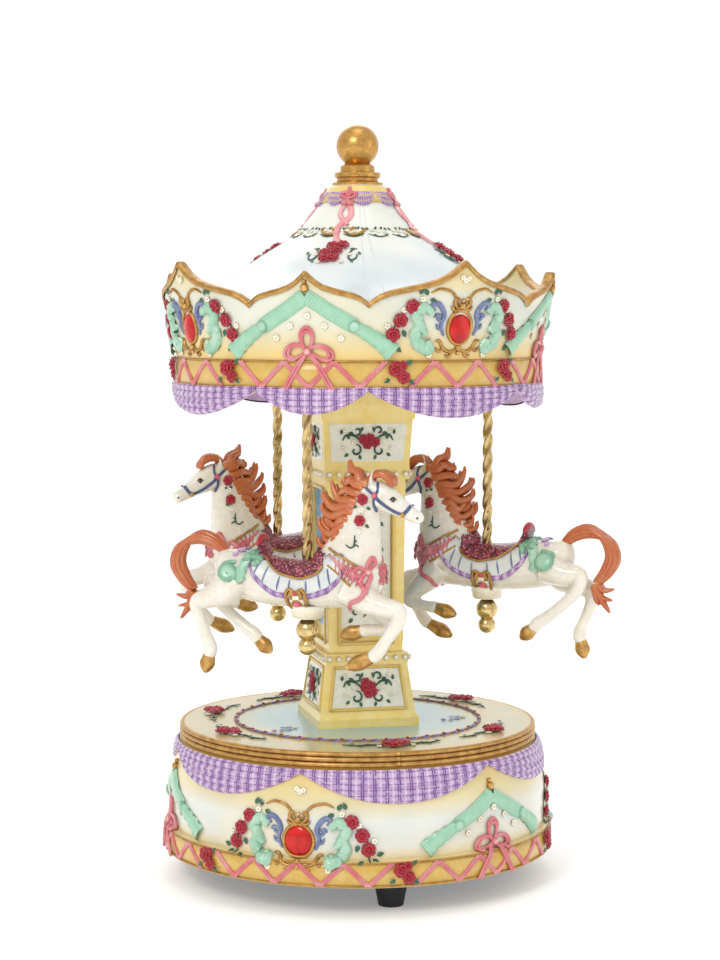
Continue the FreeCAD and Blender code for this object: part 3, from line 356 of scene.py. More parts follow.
def mix(material, first, second, share, blend="MIX"):
    made = node(material, "ShaderNodeMix", data_type="RGBA", blend_type=blend)
    for socket, value in ((made.inputs[0], share), (made.inputs[6], first), (made.inputs[7], second)):
        if isinstance(value, bpy.types.NodeSocket):
            link(material, value, socket)
        elif isinstance(value, (int, float)):
            socket.default_value = value
        else:
            socket.default_value = (*value, 1)
    return made.outputs[2]


def painted_shade_mask(material, low=0.44, high=0.52):
    """0 in hollows, 1 on crests: the mask that lays painted shade in the hollows, as occlusion would darken them.
    """
    geometry = node(material, "ShaderNodeNewGeometry")
    return ramp(material, geometry.outputs["Pointiness"], [(low, (0, 0, 0)), (high, (1, 1, 1))])


def bump(material, shader, source, height, distance=0.0002):
    made = node(material, "ShaderNodeBump", Strength=height, Distance=distance)
    link(material, source, made.inputs["Height"])
    link(material, made.outputs["Normal"], shader.inputs["Normal"])


def painted(name, color, shade, roughness=0.36, coat=0.35, mottle=0.12, hollow_shade_share=0.6, grain=900.0, sss=0.0,
            light=None):
    """Glazed moulded resin: brushed colour, pulled towards the shade colour in the hollows as painted shade."""
    material, shader = new_material(name, color, roughness, coat=coat, sss=sss)
    pale = light or tuple(min(1.0, value * 1.18 + 0.03) for value in color)
    patches = ramp(material, noise(material, 260.0, 4.0), [(0.35, color), (0.68, pale)])
    speckle = ramp(material, noise(material, grain, 2.0), [(0.3, (1 - mottle,) * 3), (0.7, (1.0, 1.0, 1.0))])
    brushed = mix(material, patches, speckle, 1.0, "MULTIPLY")
    # Painted shade: the hollows take the shade colour through the crease mask.
    hollow_shaded = mix(material, shade, brushed, painted_shade_mask(material))
    final = mix(material, brushed, hollow_shaded, hollow_shade_share)
    link(material, final, shader.inputs["Base Color"])
    gloss = node(material, "ShaderNodeMapRange")
    gloss.inputs["To Min"].default_value = roughness - 0.08
    gloss.inputs["To Max"].default_value = roughness + 0.12
    link(material, noise(material, 420.0, 3.0), gloss.inputs["Value"])
    link(material, gloss.outputs["Result"], shader.inputs["Roughness"])
    bump(material, shader, noise(material, 700.0, 4.0), 0.25, 0.00025)
    return material


def metal(name, color, shade, roughness=0.25, metallic=1.0, wear=500.0, coat=0.0):
    """Metal or metallic paint with a cloudy polish and hollows darkened as painted shade."""
    material, shader = new_material(name, color, roughness, metallic=metallic, coat=coat)
    cloud = ramp(material, noise(material, wear, 5.0, 0.6), [(0.32, shade), (0.62, color)])
    # Painted shade: hollows pulled towards the shade colour.
    final = mix(material, shade, cloud, painted_shade_mask(material, 0.4, 0.53))
    link(material, mix(material, cloud, final, 0.7), shader.inputs["Base Color"])
    gloss = node(material, "ShaderNodeMapRange")
    gloss.inputs["To Min"].default_value = roughness - 0.07
    gloss.inputs["To Max"].default_value = roughness + 0.14
    link(material, noise(material, wear * 0.6, 4.0), gloss.inputs["Value"])
    link(material, gloss.outputs["Result"], shader.inputs["Roughness"])
    bump(material, shader, noise(material, wear * 1.6, 4.0), 0.18, 0.0002)
    return material


def height_tint(material, low, high, stops):
    """Colour by height between two heights in metres, along the object's own Z."""
    place = node(material, "ShaderNodeTexCoord")
    split = node(material, "ShaderNodeSeparateXYZ")
    link(material, place.outputs["Object"], split.inputs["Vector"])
    spread = node(material, "ShaderNodeMapRange")
    spread.inputs["From Min"].default_value = low
    spread.inputs["From Max"].default_value = high
    link(material, split.outputs["Z"], spread.inputs["Value"])
    return ramp(material, spread.outputs["Result"], stops)


def tinted_wall(name, low, high, stops, roughness=0.3):
    """Pearly resin wall whose airbrushed colour changes with height."""
    material, shader = new_material(name, stops[0][1], roughness, coat=0.5, sss=0.08)
    tint = height_tint(material, low, high, stops)
    cloud = ramp(material, noise(material, 60.0, 3.0), [(0.35, (0.80, 0.86, 0.90)), (0.6, (1.0, 1.0, 1.0))])
    clouded = mix(material, tint, cloud, 0.5, "MULTIPLY")
    blush = ramp(material, noise(material, 38.0, 2.0), [(0.52, (0, 0, 0)), (0.7, (1, 1, 1))])
    final = mix(material, clouded, (0.86, 0.66, 0.26), mix(material, (0, 0, 0), blush, 0.28))
    link(material, final, shader.inputs["Base Color"])
    bump(material, shader, noise(material, 520.0, 3.0), 0.2, 0.00025)
    return material


def plaid(name, ground, line, thread, lines=1.0):
    """Painted plaid cloth: crossing purple lines and pale threads over a lilac ground, by the weave attribute,
    with painted shade darkening its hollows.
    """
    material, shader = new_material(name, ground, 0.42, coat=0.25)
    attribute = node(material, "ShaderNodeAttribute", attribute_name="weave")
    split = node(material, "ShaderNodeSeparateXYZ")
    link(material, attribute.outputs["Vector"], split.inputs["Vector"])

    def stripes(axis, scale, shift, low, high):
        wave = node(material, "ShaderNodeMath", operation="MULTIPLY_ADD")
        link(material, split.outputs[axis], wave.inputs[0])
        wave.inputs[1].default_value = scale * lines
        wave.inputs[2].default_value = shift
        wave_sine = node(material, "ShaderNodeMath", operation="SINE")
        link(material, wave.outputs[0], wave_sine.inputs[0])
        return ramp(material, wave_sine.outputs[0], [(low, (0, 0, 0)), (high, (1, 1, 1))])

    mottled = ramp(material, noise(material, 300.0, 4.0), [(0.3, ground), (0.7, thread)])
    across = mix(material, mottled, line, stripes("X", 4.2, 0.0, 0.88, 0.97))
    down = mix(material, across, line, stripes("Y", 5.6, 0.6, 0.86, 0.97))
    fine = mix(material, down, line, stripes("X", 4.2, 1.1, 0.90, 0.98))
    glints = ramp(material, noise(material, 1100.0, 2.0), [(0.55, (0, 0, 0)), (0.66, (1, 1, 1))])
    threads = mix(material, fine, (0.76, 0.62, 0.78),
                  mix(material, (0, 0, 0), stripes("X", 4.2, 3.7, 0.75, 0.95), 0.6))
    pale = mix(material, threads, (0.78, 0.64, 0.80), mix(material, (0, 0, 0), glints, 0.4))
    # Painted shade: dark purple laid in the hollows of the folds.
    final = mix(material, (0.16, 0.08, 0.26), pale, painted_shade_mask(material, 0.42, 0.5))
    link(material, mix(material, pale, final, 0.6), shader.inputs["Base Color"])
    bump(material, shader, noise(material, 1100.0, 3.0), 0.45, 0.00035)
    return material


def netted(name, color, shade):
    """Moulded ribbon with a diamond net pressed in it, from the weave attribute, and painted shade in its
    hollows.
    """
    material, shader = new_material(name, color, 0.36, coat=0.35)
    attribute = node(material, "ShaderNodeAttribute", attribute_name="weave")
    mapping = node(material, "ShaderNodeMapping")
    mapping.inputs["Rotation"].default_value = (0, 0, math.radians(45))
    link(material, attribute.outputs["Vector"], mapping.inputs["Vector"])
    split = node(material, "ShaderNodeSeparateXYZ")
    link(material, mapping.outputs["Vector"], split.inputs["Vector"])
    waves = []
    for axis in "XY":
        scaled = node(material, "ShaderNodeMath", operation="MULTIPLY")
        link(material, split.outputs[axis], scaled.inputs[0])
        scaled.inputs[1].default_value = 11.0
        sine = node(material, "ShaderNodeMath", operation="SINE")
        link(material, scaled.outputs[0], sine.inputs[0])
        waves.append(sine.outputs[0])
    product = node(material, "ShaderNodeMath", operation="MULTIPLY")
    link(material, waves[0], product.inputs[0])
    link(material, waves[1], product.inputs[1])
    net = ramp(material, product.outputs[0], [(-0.0, (0.72, 0.78, 0.75)), (0.45, (1, 1, 1))])
    base = ramp(material, noise(material, 400.0, 3.0), [(0.3, color), (0.7, tuple(v * 1.15 for v in color))])
    lined = mix(material, base, net, 0.55, "MULTIPLY")
    # Painted shade: the ribbon's hollows take the shade colour.
    final = mix(material, shade, lined, painted_shade_mask(material, 0.42, 0.5))
    link(material, mix(material, lined, final, 0.55), shader.inputs["Base Color"])
    bump(material, shader, net, 0.5, 0.0003)
    return material


def jewel_material():
    """Polished red acrylic with darker clouds in it."""
    material, shader = new_material("red_jewel", (0.62, 0.012, 0.006), 0.12, coat=0.3, specular=0.3)
    flaw = ramp(material, noise(material, 240.0, 2.0),
                [(0.35, (0.40, 0.004, 0.003)), (0.65, (0.74, 0.012, 0.006))])
    link(material, flaw, shader.inputs["Base Color"])
    return material


def beaded(name, color, shade, glint):
    """Small glass beads pressed in crimson: a cell pattern in bump and colour."""
    material, shader = new_material(name, color, 0.28, coat=0.6)
    place = node(material, "ShaderNodeTexCoord")
    cells = node(material, "ShaderNodeTexVoronoi", Scale=1300.0)
    link(material, place.outputs["Object"], cells.inputs["Vector"])
    beads = ramp(material, cells.outputs["Distance"], [(0.1, glint), (0.35, color), (0.6, shade)])
    link(material, beads, shader.inputs["Base Color"])
    made = node(material, "ShaderNodeBump", Strength=0.8, Distance=0.0004, invert=True)
    link(material, cells.outputs["Distance"], made.inputs["Height"])
    link(material, made.outputs["Normal"], shader.inputs["Normal"])
    return material


def rubber_material(name, color):
    material, shader = new_material(name, color, 0.6, specular=0.35)
    link(material, ramp(material, noise(material, 500.0),
                        [(0.3, color), (0.7, tuple(v * 1.7 for v in color))]),
         shader.inputs["Base Color"])
    bump(material, shader, noise(material, 1500.0, 4.0), 0.3, 0.0002)
    return material


# The shade colour of each painted, metal and netted finish is painted shade, laid in the hollows.
FINISH = {
    "crimson": (painted("crimson", (0.60, 0.010, 0.032), (0.20, 0.0, 0.012), 0.3, 0.35, 0.08, 0.55,
                        light=(0.72, 0.035, 0.07)), "crimson_resin"),
    "rose_pink": (painted("rose_pink", (0.72, 0.10, 0.20), (0.30, 0.01, 0.05), 0.3, 0.5), "pink_resin"),
    "white": (painted("white_petals", (0.90, 0.87, 0.74), (0.50, 0.42, 0.22), 0.34, 0.4), "ivory_resin"),
    "amber_dot": (painted("amber_dot", (0.85, 0.60, 0.12), (0.45, 0.25, 0.03), 0.35, 0.4), "yellow_resin"),
    "leaf_green": (painted("leaf_green", (0.012, 0.12, 0.045), (0.002, 0.03, 0.012), 0.32, 0.5),
                   "green_resin"),
    "mint": (netted("mint", (0.33, 0.59, 0.41), (0.13, 0.35, 0.22)), "mint_resin"),
    "mint_smooth": (painted("mint_smooth", (0.30, 0.56, 0.38), (0.10, 0.31, 0.19), 0.3, 0.45,
                            light=(0.44, 0.68, 0.51)), "mint_resin"),
    # The pink's light tone, laid in noise patches, is lighter paint and a painted highlight.
    "pink": (painted("pink", (0.84, 0.25, 0.27), (0.50, 0.05, 0.08), 0.28, 0.5,
                     light=(0.93, 0.52, 0.52)), "pink_resin"),
    "gold": (metal("gold_paint", (0.80, 0.50, 0.17), (0.36, 0.18, 0.045), 0.36, 0.8), "gold_resin"),
    "blue": (painted("slate_blue", (0.20, 0.27, 0.50), (0.04, 0.06, 0.20), 0.32, 0.45,
                     light=(0.50, 0.58, 0.76)), "blue_resin"),
    "purple": (plaid("purple_plaid", (0.42, 0.25, 0.47), (0.15, 0.05, 0.25), (0.58, 0.41, 0.60)),
               "purple_resin"),
    "pearl": (painted("pearl", (0.92, 0.86, 0.70), (0.55, 0.42, 0.18), 0.2, 0.8, sss=0.1), "ivory_resin"),
    "butter": (painted("butter_yellow", (0.87, 0.66, 0.18), (0.60, 0.36, 0.05), 0.3, 0.4, 0.05, 0.5,
                       light=(0.90, 0.74, 0.30)), "yellow_resin"),
    "amber": (painted("amber_band", (0.82, 0.53, 0.09), (0.46, 0.25, 0.03), 0.3, 0.45,
                      light=(0.86, 0.66, 0.22)), "yellow_resin"),
    "lilac": (painted("lilac", (0.58, 0.38, 0.70), (0.28, 0.14, 0.42), 0.34, 0.4), "purple_resin"),
}


# ---------------------------------------------------------------- places on the object

def curve_through(pairs):
    """A smooth function through (place, value) pairs, as radius against height."""
    places = [place for place, _ in pairs]
    values = [value for _, value in pairs]
    return lambda place: float(np.interp(place, places, values))


RIM_LOW, RIM_HIGH = box_mm("canopy_rim")
VALANCE_LOW, VALANCE_HIGH = box_mm("canopy_valance")
SHELL_LOW, SHELL_HIGH = box_mm("base_shell")
DECK_LOW, DECK_HIGH = box_mm("deck_plate")
ROOF_LOW, ROOF_HIGH = box_mm("canopy_roof")
CEILING_LOW, CEILING_HIGH = box_mm("canopy_ceiling")

RIM_TOP = RIM_HIGH.z
RIM_BOTTOM = CEILING_HIGH.z
BAND_TOP = RIM_BOTTOM + 6.1
RIM_FLARE = 56.0
RIM_FOOT = 50.9
BASE_FOOT = SHELL_LOW.z
BASE_TOP = SHELL_HIGH.z
BASE_BAND_TOP = BASE_FOOT + 6.7
DECK_TOP = DECK_HIGH.z
ROOF_TOP = ROOF_HIGH.z
ROOF_EDGE = RIM_BOTTOM + 21.0

BOW_TURNS = [-27.4 + 90 * index for index in range(4)]
JEWEL_TURNS = [17.6 + 90 * index for index in range(4)]
HALF_BOW = 17.5
HALF_JEWEL = 27.5
BASE_JEWEL_TURNS = [-30.0 + 120 * index for index in range(3)]
BASE_BOW_TURNS = [30.0 + 120 * index for index in range(3)]
VALLEY = RIM_TOP - 11.3
BOW_PEAK = RIM_TOP - 3.0

rim_radius = curve_through([(RIM_BOTTOM - 4, RIM_FOOT), (BAND_TOP, RIM_FOOT), (BAND_TOP + 6, RIM_FOOT + 0.8),
                            (BAND_TOP + 14, RIM_FOOT + 2.4), (BAND_TOP + 20, RIM_FLARE - 1),
                            (RIM_TOP, RIM_FLARE)])
base_radius = curve_through([(BASE_FOOT, 54.4), (BASE_BAND_TOP, 54.4), (BASE_BAND_TOP + 0.6, 53.0),
                             (BASE_FOOT + 18.4, 53.0), (BASE_TOP, 50.5)])
roof_radius_at = curve_through([(ROOF_EDGE - 0.2, 51.9), (ROOF_EDGE + 2.6, 45.9), (ROOF_EDGE + 5.4, 39.2),
                                (ROOF_EDGE + 8.8, 33.2), (ROOF_EDGE + 13.4, 26.3), (ROOF_EDGE + 16.8, 20.7),
                                (ROOF_EDGE + 19.4, 16.8), (ROOF_EDGE + 0.83 * (ROOF_TOP - ROOF_EDGE), 10.64),
                                (ROOF_TOP, 7.0)])


def round_point(radius, turn, height):
    angle = math.radians(turn)
    return Vector((radius * math.sin(angle), -radius * math.cos(angle), height))


def wall(profile, middle_turn):
    """Places on a round wall: across in mm from the middle turn, height in mm, lift off the wall in mm."""
    def place(across, height, lift=0.0):
        radius = profile(height)
        turn = middle_turn + math.degrees(across / radius)
        slope = (profile(height + 0.5) - profile(height - 0.5))
        out = (round_point(1, turn, 0) - UP * slope).normalized()
        return round_point(radius, turn, height) + out * lift, out
    return place


def wall_path(place, pairs, lift=0.0, steps=6):
    """Points and normals along a smooth line on a wall through (across, height) pairs."""
    line = smooth_path([Vector((across, height, 0)) for across, height in pairs], steps)
    found = [place(point.x, point.y, lift) for point in line]
    return [point for point, _ in found], [out for _, out in found]


def vine(trim, place, pairs, radius=0.28, colour="leaf_green", lift=0.1, steps=6, taper=True):
    path, normals = wall_path(place, pairs, lift, steps)
    tube(trim[colour], path, radius, 6, normals=normals, taper=pointed if taper else None)


def curl(centre, reach, start, sweep, turns_in=0.25):
    """A spiral's (across, height) pairs: from the outside in."""
    pairs = []
    steps = 9
    for step in range(steps + 1):
        share = step / steps
        angle = math.radians(start + sweep * share)
        radius = reach * (1 - share * (1 - turns_in))
        pairs.append((centre[0] + radius * math.cos(angle), centre[1] + radius * math.sin(angle)))
    return pairs


def rose_cluster(trim, place, spots, radius, lift=0.3):
    for across, height in spots:
        point, out = place(across, height, lift)
        trim.rose(point, out, radius)


def blossoms(trim, place, spots, radius=0.85, lift=0.25):
    for across, height in spots:
        point, out = place(across, height, lift)
        trim.blossom(point, out, radius)


def leaves(trim, place, spots, length=1.7):
    for across, height, spin in spots:
        point, out = place(across, height, 0.15)
        trim.leaf(point, out, length, math.radians(spin))


def scallop(turn):
    """Height of the rim's edge at a turn: an ogee from each valley up to the peak beside it."""
    from_bow = (turn - BOW_TURNS[0] + 45) % 90 - 45
    distance = abs(from_bow)
    shape_u = [0.0, 0.05, 0.12, 0.22, 0.36, 0.55, 0.72, 0.84, 0.93, 1.0]
    shape_v = [0.0, 0.10, 0.20, 0.29, 0.36, 0.45, 0.56, 0.70, 0.86, 1.0]
    if distance <= HALF_BOW:
        share, peak = 1 - distance / HALF_BOW, BOW_PEAK
    else:
        share, peak = (distance - HALF_BOW) / HALF_JEWEL, RIM_TOP - 0.3
    return VALLEY + (peak - VALLEY) * float(np.interp(share, shape_u, shape_v))


# ---------------------------------------------------------------- canopy

def build_rim():
    """The scalloped wall: outside, top edge and inside as one skin, with a gold edge laid on it."""
    steps = 720
    rows = 16
    shell = Shell()
    rings = []
    edge_gold = []
    for step in range(steps):
        turn = 360 * step / steps
        top = scallop(turn)
        column = []
        for row in range(rows + 1):
            height = RIM_BOTTOM - 2.4 + (top - RIM_BOTTOM + 2.4) * row / rows
            column.append(round_point(rim_radius(height), turn, height))
        inside_top = rim_radius(top) - 2.0
        column.append(round_point(inside_top, turn, top))
        for row in range(1, 5):
            height = top + (RIM_BOTTOM + 16 - top) * row / 4
            column.append(round_point(rim_radius(height) - 2.0, turn, height))
        rings.append(column)
        radius = rim_radius(top)
        edge_gold.append([round_point(radius + 0.1, turn, top - 1.15),
                          round_point(radius + 0.5, turn, top - 0.9),
                          round_point(radius + 0.5, turn, top + 0.05),
                          round_point(radius - 0.1, turn, top + 0.4),
                          round_point(radius - 1.9, turn, top + 0.4), round_point(radius - 2.4, turn, top),
                          round_point(radius - 2.3, turn, top - 0.8)])
    shell.add([point for column in rings for point in column],
              grid_faces(steps, len(rings[0]), closed_rows=True))
    material = tinted_wall("rim_ivory", (RIM_BOTTOM - 2) * MM, RIM_TOP * MM, [
        (0.0, (0.82, 0.56, 0.16)), (0.26, (0.80, 0.56, 0.18)), (0.36, (0.76, 0.62, 0.32)),
        (0.52, (0.74, 0.73, 0.60)),
        (0.70, (0.72, 0.72, 0.60)), (0.84, (0.74, 0.62, 0.32)), (1.0, (0.74, 0.50, 0.15))])
    rim = shell.make("rim_wall", material, "carousel", "ivory_resin")
    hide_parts("canopy_rim")
    gold = Shell()
    gold.add([point for column in edge_gold for point in column], grid_faces(steps, 7, closed_rows=True))
    gold.make("rim_gold_edge", FINISH["gold"][0], "carousel", "gold_resin")


def band(trim, profile, low, high, lift, rose_turns, bow_turns, zigzags, colour="amber"):
    """A raised band with gold beads above and below, and pink ribbon laced over it in zigzags."""
    shell = trim[colour]
    steps = 360
    columns = []
    for step in range(steps):
        turn = 360 * step / steps
        columns.append([round_point(profile(high - 0.8) + offset, turn, height) for offset, height in
                        ((-0.3, low - 0.3), (lift, low), (lift + 0.15, (low + high) / 2), (lift, high),
                         (-0.3, high + 0.3))])
    shell.add([point for column in columns for point in column], grid_faces(steps, 5, closed_rows=True))
    for height in (low + 0.1, high - 0.1):
        ring_path = [round_point(profile(high - 0.8) + lift + 0.05, 360 * step / steps, height)
                     for step in range(steps + 1)]
        tube(trim["gold"], ring_path, 0.3, 6)
    radius = profile(high - 0.8) + lift
    pitch = 360 / zigzags
    middle = (low + high) / 2
    half = (high - low) / 2 - 0.15
    for index in range(zigzags * 2):
        start = bow_turns[0] + pitch * index / 2
        if any(abs((start + pitch / 4 - turn + 180) % 360 - 180) < 3.4 for turn in rose_turns):
            continue
        rising = index % 2 == 0
        for offset in (-0.42, 0.42):
            shift = math.degrees(offset / radius)
            first = round_point(radius, start + shift, middle - half if rising else middle + half)
            last = round_point(radius, start + shift + pitch / 2, middle + half if rising else middle - half)
            path = [first.lerp(last, share / 6) for share in range(7)]
            for point in path:
                out = Vector((point.x, point.y, 0)).normalized()
                point += out * (radius + 0.25 - Vector((point.x, point.y, 0)).length)
            normals = [Vector((point.x, point.y, 0)).normalized() for point in path]
            tube(trim["pink"], path, 0.4, 7, 0.9, normals)


def band_roses(trim, place, lift, middle):
    """Two roses with buds and leaves where the lacing parts."""
    for across, height, radius in ((-0.9, middle + 1.0, 1.9), (1.1, middle - 1.2, 1.6),
                                   (0.9, middle + 1.9, 1.1)):
        point, out = place(across, height, lift)
        trim.rose(point, out, radius)
    leaves(trim, lambda a, h, l: place(a, h, lift + l * 0.5),
           [(2.4, middle - 2.0, -30), (-2.4, middle - 1.6, 210), (2.0, middle + 2.2, 40)], 1.9)


def bow(trim, place, height, size=1.0, lift=0.6, tails=8.5):
    """Three moulded loops, a knot and two tails that cross the band below."""
    loops = [
        [(0, 0), (-2.2, 1.7), (-5.2, 1.3), (-6.4, -0.9), (-4.6, -2.3), (-1.8, -1.0), (0, 0)],
        [(0, 0), (2.2, 1.5), (5.4, 0.8), (6.6, -1.2), (4.8, -2.5), (1.8, -1.1), (0, 0)],
        [(0, 0), (-1.5, 2.0), (-1.9, 4.7), (-0.2, 6.3), (1.4, 4.7), (1.1, 2.0), (0, 0)],
    ]
    for loop in loops:
        for share in (1.0, 0.84):
            path, normals = wall_path(place, [(a * size * share, height + b * size * share) for a,
                                              b in loop], lift, 5)
            tube(trim["pink"], path, 0.46 * size, 8, 0.9, normals)
    for side in (-1, 1):
        for offset in (-0.42, 0.42):
            pairs = [(0, height), (side * (2.6 + offset) * size, height - tails * 0.35),
                     (side * (6.4 + offset) * size, height - tails)]
            path, normals = wall_path(place, pairs, lift + 0.2, 5)
            tube(trim["pink"], path, 0.42 * size, 8, 0.9, normals)
    point, out = place(0, height, lift + 0.5)
    ball(trim["pink"], point, 1.05 * size, 0.8, out, 6, 10)


def jewel_frame(trim, place, height, wide, tall, size=1.0):
    """The gold bezel, crown and foliage round an oval stone, and the blue scrolls beside it."""
    oval_pairs = [((wide + 0.35) * math.cos(t), height + (tall + 0.35) * math.sin(t))
                  for t in [2 * math.pi * step / 24 for step in range(25)]]
    path, normals = wall_path(place, oval_pairs, 0.25, 2)
    tube(trim["gold"], path, 0.48, 8, 1.0, normals)
    for side in (-1, 1):
        def mirrored(pairs):
            return [(side * a * size, height + b * size) for a, b in pairs]
        vine(trim, place, mirrored([(0.2, 5.0), (1.6, 6.9), (3.6, 9.2), (7.0, 10.0), (9.5, 9.0)]), 0.42,
             "gold", 0.2)
        vine(trim, place, mirrored([(0, 5.2), (1.4, 5.2), (2.4, 6.4), (1.9, 7.6), (0.9, 7.2)]), 0.55,
             "gold", 0.35)
        vine(trim, place, mirrored([(0.4, 4.9), (2.2, 4.5), (3.2, 5.6)]), 0.5, "gold", 0.35)
        vine(trim, place, mirrored([(0.3, -5.2), (2.0, -6.4), (4.4, -5.6), (5.6, -3.6), (6.9, -3.6)]), 0.55,
             "gold", 0.25)
        vine(trim, place, mirrored([(4.2, -5.2), (5.8, -6.2), (6.6, -5.2)]), 0.42, "gold", 0.25)
        vine(trim, place, mirrored([(1.4, -6.0), (2.6, -7.6), (3.9, -7.2)]), 0.42, "gold", 0.25)
        vine(trim, place, mirrored([(4.6, -2.2), (5.6, 0.6), (5.0, 3.4), (6.6, 5.9), (8.4, 6.2), (8.6, 4.9),
                                    (7.6, 4.6)]),
             0.75, "blue", 0.2)
        vine(trim, place, mirrored([(4.9, 1.4), (6.6, 2.2), (6.9, 3.8)]), 0.5, "blue", 0.2)
        vine(trim, place, mirrored([(5.6, 3.0), (7.0, 3.4), (7.8, 2.6)]), 0.4, "blue", 0.25)
        vine(trim, place, mirrored([(5.0, -0.6), (6.4, -0.2), (7.0, 1.0)]), 0.45, "blue", 0.2)
    for across, rise, radius in ((0, 5.6, 0.95), (0, 7.1, 0.6), (0, -5.4, 0.9), (0, -6.7, 0.6)):
        point, out = place(across * size, height + rise * size, 0.45)
        ball(trim["gold"], point, radius * size, 0.7, out)


def mint_curl(trim, place, pairs, width=3.4):
    """A curled length of moulded ribbon with a frilled edge."""
    path, normals = wall_path(place, pairs, 0.35, 8)
    count = len(path)
    widths = [width * (0.35 + 0.65 * math.sin(math.pi * (0.08 + 0.84 * index / (count - 1))))
              for index in range(count)]
    ribbon(trim["mint_smooth"], path, normals, widths, lift=1.25, frill=0.35)


def garland(trim, place, top, reach, drop, side):
    """The netted mint ribbon from a panel's peak down to one side, gathered once, with a widening tail."""
    pairs = [(0, top), (side * reach * 0.28, top - drop * 0.28), (side * reach * 0.56, top - drop * 0.53)]
    path, normals = wall_path(place, pairs, 0.3, 8)
    ribbon(trim["mint"], path, normals, 4.2, lift=0.85)
    point, out = place(pairs[2][0], pairs[2][1], 0.6)
    ball(trim["mint_smooth"], point, 1.8, 0.7, out)
    tail = [pairs[2], (side * reach * 0.72, top - drop * 0.68), (side * reach * 0.88, top - drop * 0.84),
            (side * reach, top - drop)]
    path, normals = wall_path(place, tail, 0.4, 8)
    widths = [3.0 + 2.2 * index / (len(path) - 1) for index in range(len(path))]
    ribbon(trim["mint"], path, normals, widths, lift=1.05, frill=0.3)


def drop_bead(trim, place, height):
    point, out = place(0, height, 0.5)
    ball(trim["gold"], point, 1.15, 0.8, out)
    point, out = place(0, height + 1.5, 0.35)
    ball(trim["gold"], point, 0.7, 1.0, out)


def bow_panel(trim, place, band_low, bow_height, peak, garland_drop, reach):
    garland_top = peak
    for side in (-1, 1):
        garland(trim, place, garland_top, reach, garland_drop, side)
    drop_bead(trim, place, peak + 2.2)
    arch = [(-8.6, 3.4), (-4.6, 6.6), (0.2, 9.2), (4.6, 6.6), (8.8, 3.4)]
    blossoms(trim, place, [(a, bow_height + b) for a, b in arch], 1.0)
    bow(trim, place, bow_height, tails=bow_height - band_low)


def jewel_panel(trim, place, height, stone, peak, spread):
    wide, tall = stone
    jewel_frame(trim, place, height, wide, tall)
    blossoms(trim, place, [(0, peak), (-0.9, peak + 0.8), (1.0, peak + 0.5)], 0.85)
    for side in (-1, 1):
        def at(pairs):
            return [(side * a * spread, height + b) for a, b in pairs]
        mint_curl(trim, place, at([(8.6, 3.6), (10.6, 5.2), (12.8, 3.6), (11.6, 0.6), (9.9, -1.4)]), 3.4)
        mint_curl(trim, place, at([(11.4, 1.6), (12.6, -1.6), (11.0, -4.6), (8.6, -5.4), (9.2, -3.2)]), 3.8)
        roses = at([(14.2, 5.6), (17.0, 2.0), (18.6, -1.8)])
        rose_cluster(trim, place, roses, 1.75)
        blossoms(trim, place, at([(11.6, 7.4), (16.2, 4.6), (20.2, 0.4), (8.4, -7.2)]), 0.95)
        for across, rise, spin in ((10.4, 8.4, 60), (12.6, 8.6, 110), (9.6, 7.4, 200), (19.8, -4.6, -40),
                                   (17.6, -5.0, 220), (20.8, -3.4, 20), (16.0, -0.6, 250)):
            leaves(trim, place, [(side * across * spread, height + rise, spin if side > 0 else 180 - spin)],
                   2.1)
        vine(trim, place, at([(13.4, 7.2), (16.2, 4.0), (18.4, 0.0), (18.8, -4.4), (20.6, -5.6)]), 0.26)


def swag(trim, profile, start, end, top, sag, lift, colour="purple", rolls=4):
    """Cloth hung between two turns: folds gather at the two ends and sag between them."""
    shell = trim[colour]
    rows = 22
    columns = 40
    points = []
    weave = []
    for column in range(columns + 1):
        share = column / columns
        hang = 1 - abs(2 * share - 1) ** 2.1
        turn = start + (end - start) * share
        depth = 1.2 + (sag + 0.2) * hang
        for row in range(rows + 1):
            down = row / rows
            height = top - depth * down
            fold = 0.5 - 0.5 * math.cos(2 * math.pi * down * rolls)
            belly = math.sin(math.pi * min(down * 1.04, 1.0)) ** 0.6
            out = lift * (0.35 + 0.65 * belly) + 0.55 * fold * (0.3 + 0.7 * hang)
            if row == rows:
                out = -0.2
            points.append(round_point(profile(height) + out, turn, height))
            weave.append((share * (end - start) * 0.42, down * depth * 0.75 + 2))
    shell.add(points, grid_faces(columns + 1, rows + 1), weave)


def build_canopy_trim():
    trim = Trim("carousel")
    rose_turns = [turn + offset for turn in BOW_TURNS for offset in (-26.5, 26.5)]
    band(trim, rim_radius, RIM_BOTTOM - 1.0, BAND_TOP, 0.35, rose_turns, BOW_TURNS, 24)
    for turn in rose_turns:
        band_roses(trim, wall(rim_radius, turn), 0.9, (RIM_BOTTOM + BAND_TOP) / 2)
    for turn in BOW_TURNS:
        bow_panel(trim, wall(rim_radius, turn), RIM_BOTTOM - 1.6, BAND_TOP + 2.6, BOW_PEAK - 6.2, 14.6, 22.0)
    for turn in JEWEL_TURNS:
        jewel_panel(trim, wall(rim_radius, turn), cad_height("canopy_jewels"), (3.25, 4.05), RIM_TOP - 5.2,
                    1.0)
    for turn in BOW_TURNS:
        swag(trim, lambda height: RIM_FOOT, turn - HALF_BOW, turn + HALF_BOW, RIM_BOTTOM - 0.6, 5.9, 1.0)
    for turn in JEWEL_TURNS:
        swag(trim, lambda height: RIM_FOOT, turn - HALF_JEWEL, turn + HALF_JEWEL, RIM_BOTTOM - 0.6, 7.0, 1.0)
    trim.make("canopy", FINISH)


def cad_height(node_name):
    low, high = box_mm(node_name)
    return (low.z + high.z) / 2


